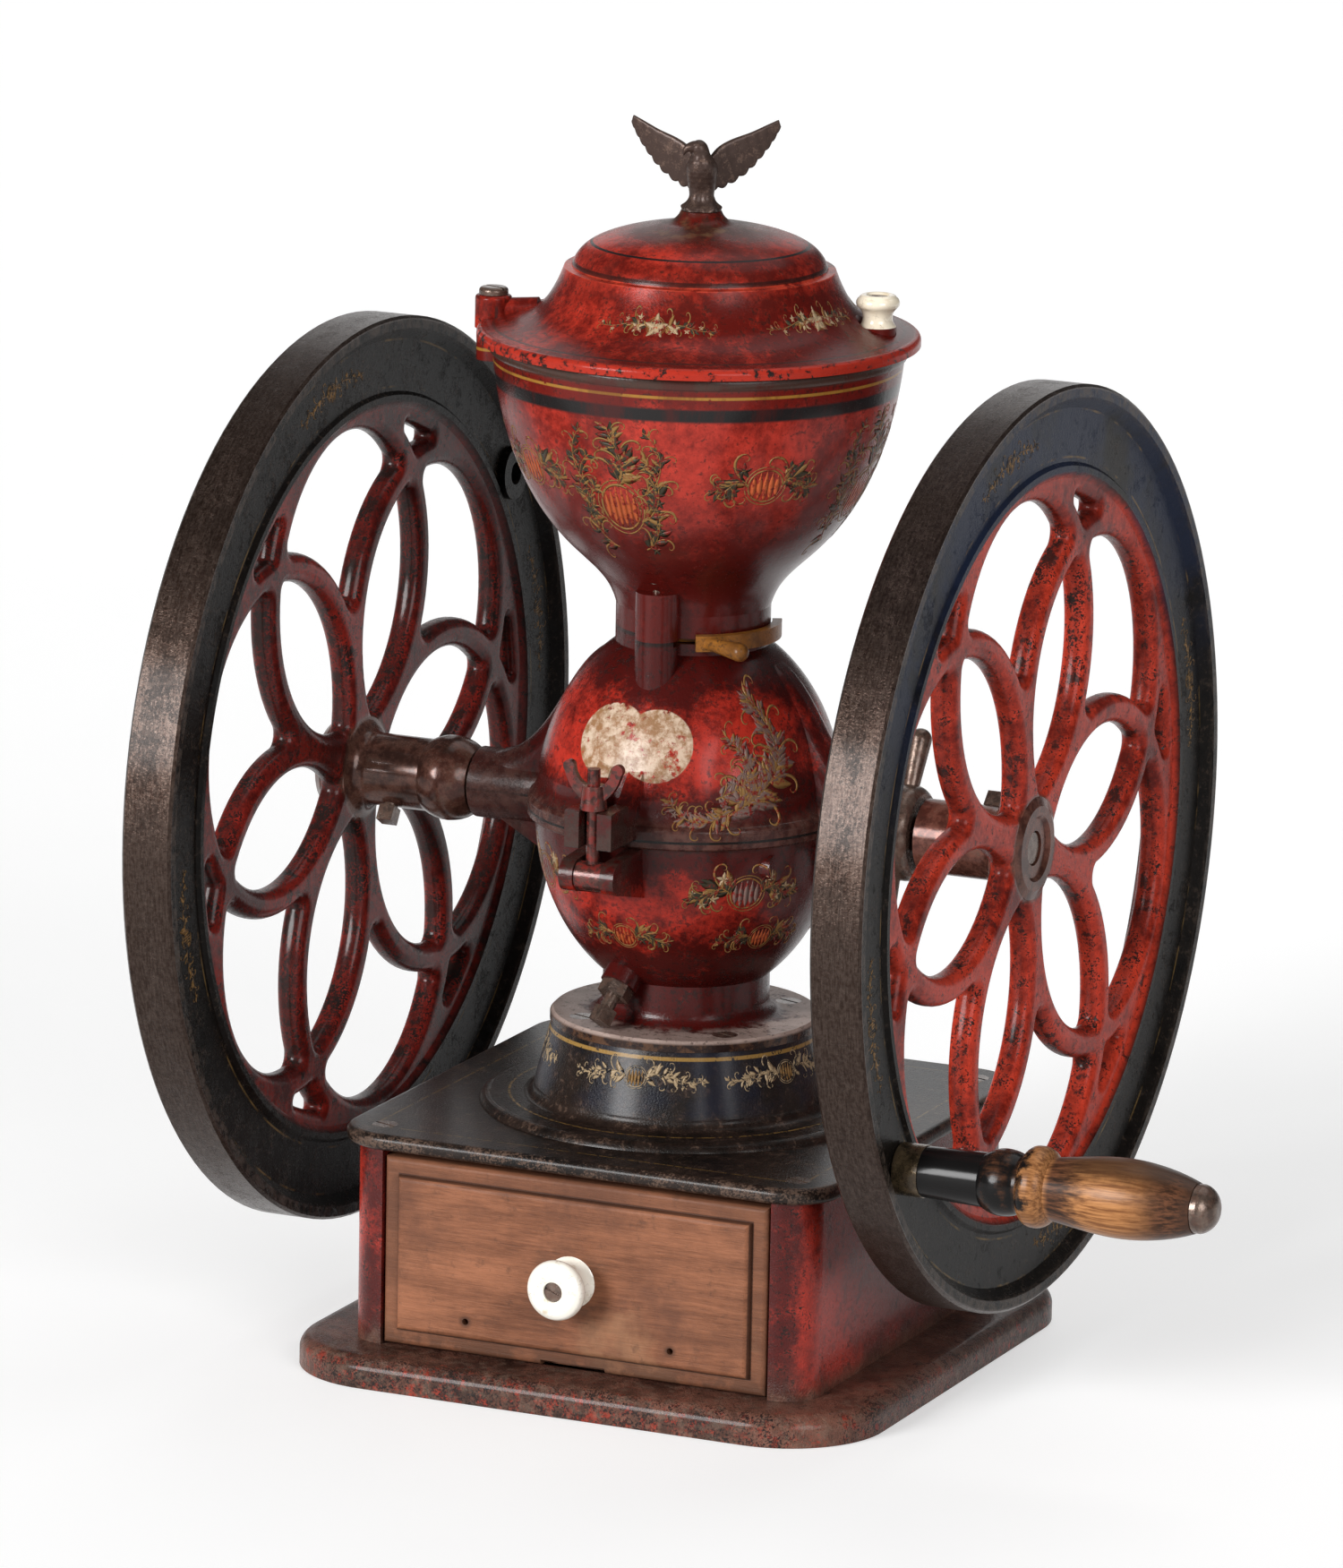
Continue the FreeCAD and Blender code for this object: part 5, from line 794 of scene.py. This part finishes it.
def plumage(turn, level):
    """Rows of overlapping breast feathers, a groove between the legs and toes at the foot."""
    height = plan[:, 2][level]
    rows = np.floor(height / 2.6)
    scale = 0.045 * np.abs(np.sin(5 * turn + np.pi / 2 * (rows % 2))) * (1 - (height / 2.6 - rows))
    chest = np.clip((height - 9) / 4, 0, 1) * np.clip((32 - height) / 3, 0, 1)
    front = np.exp(-((turn - 1.5 * np.pi) / 0.30) ** 2)
    legs = -0.22 * front * np.clip((14 - height) / 4, 0, 1)
    toes = 0.10 * np.cos(8 * turn) * np.exp(-((height - 2.4) / 1.6) ** 2)
    return 1 + scale * chest + legs + toes


trunk = stack(plan[:, :3], plan[:, 3], plan[:, 4], 64, plumage)


def tapered(knots, count, sides):
    """Round horn along a path of places and radii, for the beak and the brows."""
    rows = fair(knots, count)
    ahead = np.gradient(rows[:, :3], axis=0)
    ahead /= np.linalg.norm(ahead, axis=1)[:, None]
    first = np.cross(ahead, [0, 0, 1.0])
    first /= np.linalg.norm(first, axis=1)[:, None]
    second = np.cross(ahead, first)
    turn = np.linspace(0, 2 * np.pi, sides, endpoint=False)
    out = first[:, None] * np.cos(turn)[None, :, None] + second[:, None] * np.sin(turn)[None, :, None]
    return rows[:, None, :3] + out * rows[:, 3, None, None]


beak = tapered([
    (-1.5, -4.2, 34.6, 3.9), (-4.6, -5.2, 34.9, 3.3), (-7.2, -6.0, 34.4, 2.3), (-9.0, -6.5, 32.6, 1.3),
    (-9.4, -6.6, 30.6, 0.3)], 22, 20)
brow = tapered([(-1.0, -7.6, 36.0, 0.4), (-3.2, -7.6, 36.4, 1.0), (-5.6, -7.0, 35.8, 0.3)], 12, 10)


def wing(hand):
    """Raised wing: an aerofoil ring at each station, ridged along its feathers, its hind edge scalloped."""
    s = np.linspace(0, 1, 73)
    lead = fair([(3.0, 27.0), (8.5, 33.5), (16.0, 37.5), (27.0, 41.0), (37.0, 45.0), (42.6, 47.2)], 73)
    trail = fair([(5.0, 9.5), (14.0, 12.0), (25.0, 18.5), (33.5, 27.0), (40.0, 35.5), (44.2, 43.0)], 73)
    feather = np.abs(np.sin(9 * np.pi * s))
    trail = lead + (trail - lead) * (0.93 + 0.07 * feather)[:, None]
    turn = np.linspace(0, 2 * np.pi, 28, endpoint=False)
    along = (1 - np.cos(turn)) / 2
    profile = np.sin(turn) * (0.45 + 0.9 * np.exp(-along / 0.16)) * (1 - 0.55 * along)
    thick = (3.3 - 1.7 * s)[:, None] * profile
    ridge = 0.36 * (np.abs(np.sin(9 * np.pi * s[:, None] + 0.9 * along)) - 0.5) * np.clip(along / 0.3, 0, 1)
    coverts = 0.5 * ((along > 0.30) & (along < 0.42)) * (1 - s[:, None])
    thick = thick + np.sign(np.sin(turn)) * (ridge * (np.abs(np.sin(turn)) > 0.05) + coverts)
    flat = lead[:, None] + (trail - lead)[:, None] * along[None, :, None]
    sweep = math.radians(24)
    x = hand * (flat[..., 0] * math.cos(sweep) - thick * math.sin(sweep))
    y = flat[..., 0] * math.sin(sweep) + thick * math.cos(sweep) + 1.6
    rings = np.stack([x, y, flat[..., 1]], -1)
    return rings if hand < 0 else rings[:, ::-1]


def tail():
    """Short fan of tail feathers hanging behind the legs."""
    s = np.linspace(0, 1, 25)
    turn = np.linspace(0, 2 * np.pi, 40, endpoint=False)
    half = (3.6 + 3.6 * s)[:, None] * np.cos(turn)
    thick = (1.6 - 0.5 * s)[:, None] * np.sin(turn) * (1 + 0.35 * np.abs(np.sin(half / 7.2 * 7)))
    y = (5.5 + 7.5 * s)[:, None] + thick * 0.8
    z = (14.0 - 13.0 * s + 0.4)[:, None] + thick * 0.6 + 0 * half
    return np.stack([half, y, z], -1)


heading = math.radians(19)
spin = np.array([
    [math.cos(heading), math.sin(heading), 0], [-math.sin(heading), math.cos(heading), 0], [0, 0, 1]])
lid_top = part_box("lid")[1][2]
bird_parts = (trunk, beak, brow, wing(-1), wing(1), tail())
bird_stacks = [rings @ spin / 1000 + [0, 0, lid_top] for rings in bird_parts]
bronze, shader, coords = begin("bronze_finish")
cloud = noise(coords, 220, 5)
grain = noise(coords, 1100, 3)
high_spots = smooth(cloud * 0.6 + grain * 0.4, 0.50, 0.64)
colour = mix(high_spots, (0.052, 0.032, 0.026), (0.125, 0.080, 0.062))
coat(shader, colour, grain * 0.3 + 0.26, grain + cloud, 0.0002, high_spots * 0.3 + 0.35)
bird = piece("eagle_carved", bird_stacks, "lid", bronze)
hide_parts("eagle_finial")


# Flywheels: cast iron on the shaft, black japanned rims with a rubbed tread and red ring-pattern webs.
# The crank wheel's web is a fresher coral red with black wear, made brighter still as painted light, the
# other web a darker red that is partly painted shade, and the crank wheel's rim is dark blue above.
wheel_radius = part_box("right_wheel")[1][1]
shaft_height = 0.300
hub_radius = 0.031
rim_black, rim_dark, rim_bare = (0.009, 0.0072, 0.0062), (0.004, 0.0034, 0.003), (0.040, 0.028, 0.021)


def wheel_finish(name, centre_x, light, dark, bare, chips, blue, age_and_shade, varnish):
    """Finish by place on the wheel: hub, web, rim, lip and tread, with broken gold lines on the rim."""
    made, shader, coords = begin(name, specular=0.04)
    x, y, z = axes(coords)
    up = z - shaft_height
    radius = (y * y + up * up) ** 0.5
    off_middle = abs(x - centre_x)
    wear = noise(coords, 32, 4)
    web_edge = smooth(off_middle, 0.0074, 0.0050) * 0.045 + smooth(wear, 0.52, 0.66) * 0.05
    web, worn, grain, cloud = old_paint(coords, light, dark, bare, web_edge, chips, age_and_shade)
    # The bars' flanks are darkened towards bare iron: partly wear, partly painted shade on the inner faces of
    # the openings.
    flank_wear_and_shade = smooth(off_middle, 0.0058, 0.0020)
    scrape = noise(coords, 90, 8, 0.78) + flank_wear_and_shade * 0.06 + smooth(wear, 0.50, 0.64) * 0.05 + age_and_shade * 0.20
    scrape = smooth(scrape, 0.595, 0.655)
    web = mix(scrape * 0.85, mix(flank_wear_and_shade * 0.45, web, bare), bare)
    rim = old_paint(coords, rim_black, rim_dark, rim_bare, 0.0, 0.64)[0]
    blue_place = smooth(up, 0.02, 0.16) * blue * smooth(noise(coords, 18), 0.30, 0.55)
    rim = mix(blue_place, rim, (0.012, 0.018, 0.040))
    stripes = line(radius, wheel_radius - 0.0395, 0.0006) + line(radius, wheel_radius - 0.0135, 0.0006)
    rim = mix(stripes * smooth(noise(coords, 34, 6, 0.65), 0.47, 0.62) * 0.5, rim, (0.22, 0.135, 0.045))
    lip = smooth(radius, wheel_radius - 0.0095, wheel_radius - 0.0060)
    tread = smooth(radius, wheel_radius - 0.0030, wheel_radius - 0.0014)
    brush = noise(stretch(coords, (8.0, 1.0, 1.0)), 140, 5, 0.7)
    pits = smooth(noise(coords, 420, 3), 0.60, 0.68)
    iron = smooth(brush * 0.6 + noise(coords, 520, 3) * 0.4, 0.38, 0.64)
    iron = mix(iron, (0.025, 0.0140, 0.0102), (0.062, 0.043, 0.035))
    iron = mix(pits * 0.25, iron, (0.014, 0.010, 0.008))
    rim = mix(lip * smooth(brush, 0.40, 0.60) * 0.7, rim, (0.070, 0.052, 0.042))
    rim = mix(tread * 0.92, rim, iron)
    on_rim = smooth(radius, wheel_radius - 0.0510, wheel_radius - 0.0465)
    hub = smooth(radius, hub_radius, hub_radius - 0.0035)
    bronzed = mix(smooth(cloud, 0.40, 0.60), (0.038, 0.018, 0.013), (0.105, 0.052, 0.037))
    colour = mix(hub * 0.9, mix(on_rim, web, rim), bronzed)
    metal = tread * 0.72 + hub * 0.25
    roughness = grain * 0.14 + worn * 0.12 + tread * 0.07 + 0.15
    gloss = varnish - on_rim * (varnish - 0.05) + hub * 0.16 + tread * 0.06
    relief = grain * 0.7 + cloud * 0.8 - worn * 0.5 - scrape * 0.3 - pits * tread * 0.15
    coat(shader, colour, roughness, relief * (1.0 - hub * 0.75), 0.0006, metal, gloss)
    return made


# The left web's darker red and added age are partly painted shade; the right web's brighter red is partly
# painted light.
left_red, left_deep, left_bare = (0.27, 0.020, 0.013), (0.045, 0.006, 0.005), (0.013, 0.008, 0.007)
right_red, right_deep, right_bare = (0.49, 0.042, 0.020), (0.100, 0.008, 0.005), (0.014, 0.008, 0.007)
left_finish = wheel_finish(
    "left_wheel_finish", -0.203, left_red, left_deep, left_bare,
    chips=0.555, blue=0.0, age_and_shade=0.13, varnish=0.24)
right_finish = wheel_finish(
    "right_wheel_finish", 0.195, right_red, right_deep, right_bare,
    chips=0.58, blue=0.9, age_and_shade=0.0, varnish=0.13)
dress(left_finish, "left_wheel")
dress(right_finish, "right_wheel")


# Rim ornament: four thin gold sprays on the outer face of each wheel's rim, mostly rubbed away.
# They are painted along the rim and turn with the wheels.
def along_shaft(x, angle, radius):
    """Rays along the shaft, for a drawing on a wheel's rim."""
    def cast(flat):
        turn = math.radians(angle) + flat[:, 0] / radius
        reach = radius + flat[:, 1]
        start = np.stack([0 * turn + x, reach * np.cos(turn), shaft_height + reach * np.sin(turn)], 1)
        return start, np.tile([-1.0, 0.0, 0.0], (len(flat), 1))
    return cast


rim_spray = spray(0.080, 0.015, 19, (GOLD, GOLD, GOLD, GOLD), 16)
rim_gilding = gilding("gilding_on_rim_finish", (0.008, 0.007, 0.0065), 0.475)
for wheel, beyond in (("left_wheel", -0.1), ("right_wheel", 0.3)):
    draw(wheel + "_ornament", wheel, "shaft", rim_gilding, [
        (rim_spray, along_shaft(beyond, angle, 0.2235)) for angle in (13, 103, 193, 283)
    ])


# Bronzed and dark iron fittings: shaft, burrs, nuts, bolts, pins and screws, rubbed bright on high places.
# The clamp's pieces carry some of the case's red, and the grip's ferrule is brass.
def iron_finish(name, light, dark, stain, amount, metal):
    """Dark oiled iron with cloudy rust or paint stains, which are less metallic."""
    made, shader, coords = begin(name, varnish=0.30)
    cloud = noise(coords, 160, 5, 0.65)
    grain = noise(coords, 900, 3)
    stained = smooth(noise(coords, 240, 4), 0.46, 0.60) * amount
    colour = mix(stained, mix(smooth(cloud, 0.36, 0.64), dark, light), stain)
    roughness = grain * 0.16 + stained * 0.10 + 0.17
    coat(shader, colour, roughness, grain + cloud * 0.9, 0.0003, metal - stained * metal)
    return made


hardware = iron_finish(
    "hardware_finish", (0.160, 0.112, 0.088), (0.075, 0.050, 0.040), (0.080, 0.036, 0.023), 0.5, 0.6)
clamp_iron = iron_finish(
    "clamp_finish", (0.110, 0.040, 0.032), (0.035, 0.014, 0.012), (0.150, 0.016, 0.012), 0.9, 0.35)
burr_steel = iron_finish("burr_finish", (0.22, 0.20, 0.18), (0.09, 0.08, 0.07), (0.10, 0.06, 0.04), 0.4, 0.9)
brass = iron_finish(
    "brass_finish", (0.150, 0.105, 0.056), (0.050, 0.036, 0.022), (0.055, 0.036, 0.020), 0.6, 0.7)
dress(hardware, *[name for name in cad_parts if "screw" in name])
dress(hardware, "main_shaft", "left_bush", "right_sleeve", "adjusting_nut", "crank_spindle")
dress(hardware, "lock_nut", "rear_hinge_pin")
dress(clamp_iron, "swing_bolt", "wing_nut", "clamp_pin")
dress(burr_steel, "fixed_burr", "rotating_burr", "feed_worm")
dress(brass, "crank_ferrule")


# Crank grip: turned hardwood on the spindle, with black lacquer left on its neck and rubbed off elsewhere.
# The grain runs along the grip and shows dark streaks where hands have worn it.
grip_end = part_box("crank_grip")[1][0]
grip_middle = 0.166
collar_x, bead_x = 0.2630, 0.2840
grip_finish, shader, coords = begin("grip_finish", varnish=0.04)
x, y, z = axes(coords)
streak = noise(stretch(coords, (0.045, 1.0, 1.0)), 620, 5, 0.65)
rub = noise(coords, 60, 5, 0.65)
ragged = x + rub * 0.016 + streak * 0.020
pale = smooth(ragged, grip_end - 0.053, grip_end - 0.035) * smooth(ragged, grip_end + 0.005, grip_end - 0.019)
pale = pale + line(x, bead_x, 0.0085) * 0.75
tan = mix(smooth(streak, 0.34, 0.66), (0.17, 0.064, 0.021), (0.43, 0.195, 0.072))
brown = mix(smooth(streak, 0.36, 0.64), (0.022, 0.011, 0.007), (0.120, 0.048, 0.023))
worn = smooth(rub * 0.05 + x, grip_end - 0.071, grip_end - 0.055)
worn = worn + line(x, bead_x - 0.001, 0.0090) * smooth(rub, 0.40, 0.56) * 0.8
worn = worn + line(x, collar_x, 0.0070) * smooth(rub, 0.44, 0.60) * 0.6
worn = worn.math("MINIMUM", 1.0)
colour = mix(worn, (0.006, 0.0055, 0.0055), mix(pale, brown, tan))
shade = smooth(z - grip_middle + rub * 0.010, 0.013, 0.022) * smooth(x, grip_end - 0.075, grip_end - 0.061)
colour = mix(shade * 0.85, colour, (0.040, 0.019, 0.010))
colour = mix(smooth(x, grip_end - 0.011, grip_end) * 0.7, colour, (0.045, 0.022, 0.014))
coat(shader, colour, worn * 0.14 + streak * 0.10 + 0.14, streak * worn * 0.6 + rub * 0.3, 0.0003)
dress(grip_finish, "crank_grip")
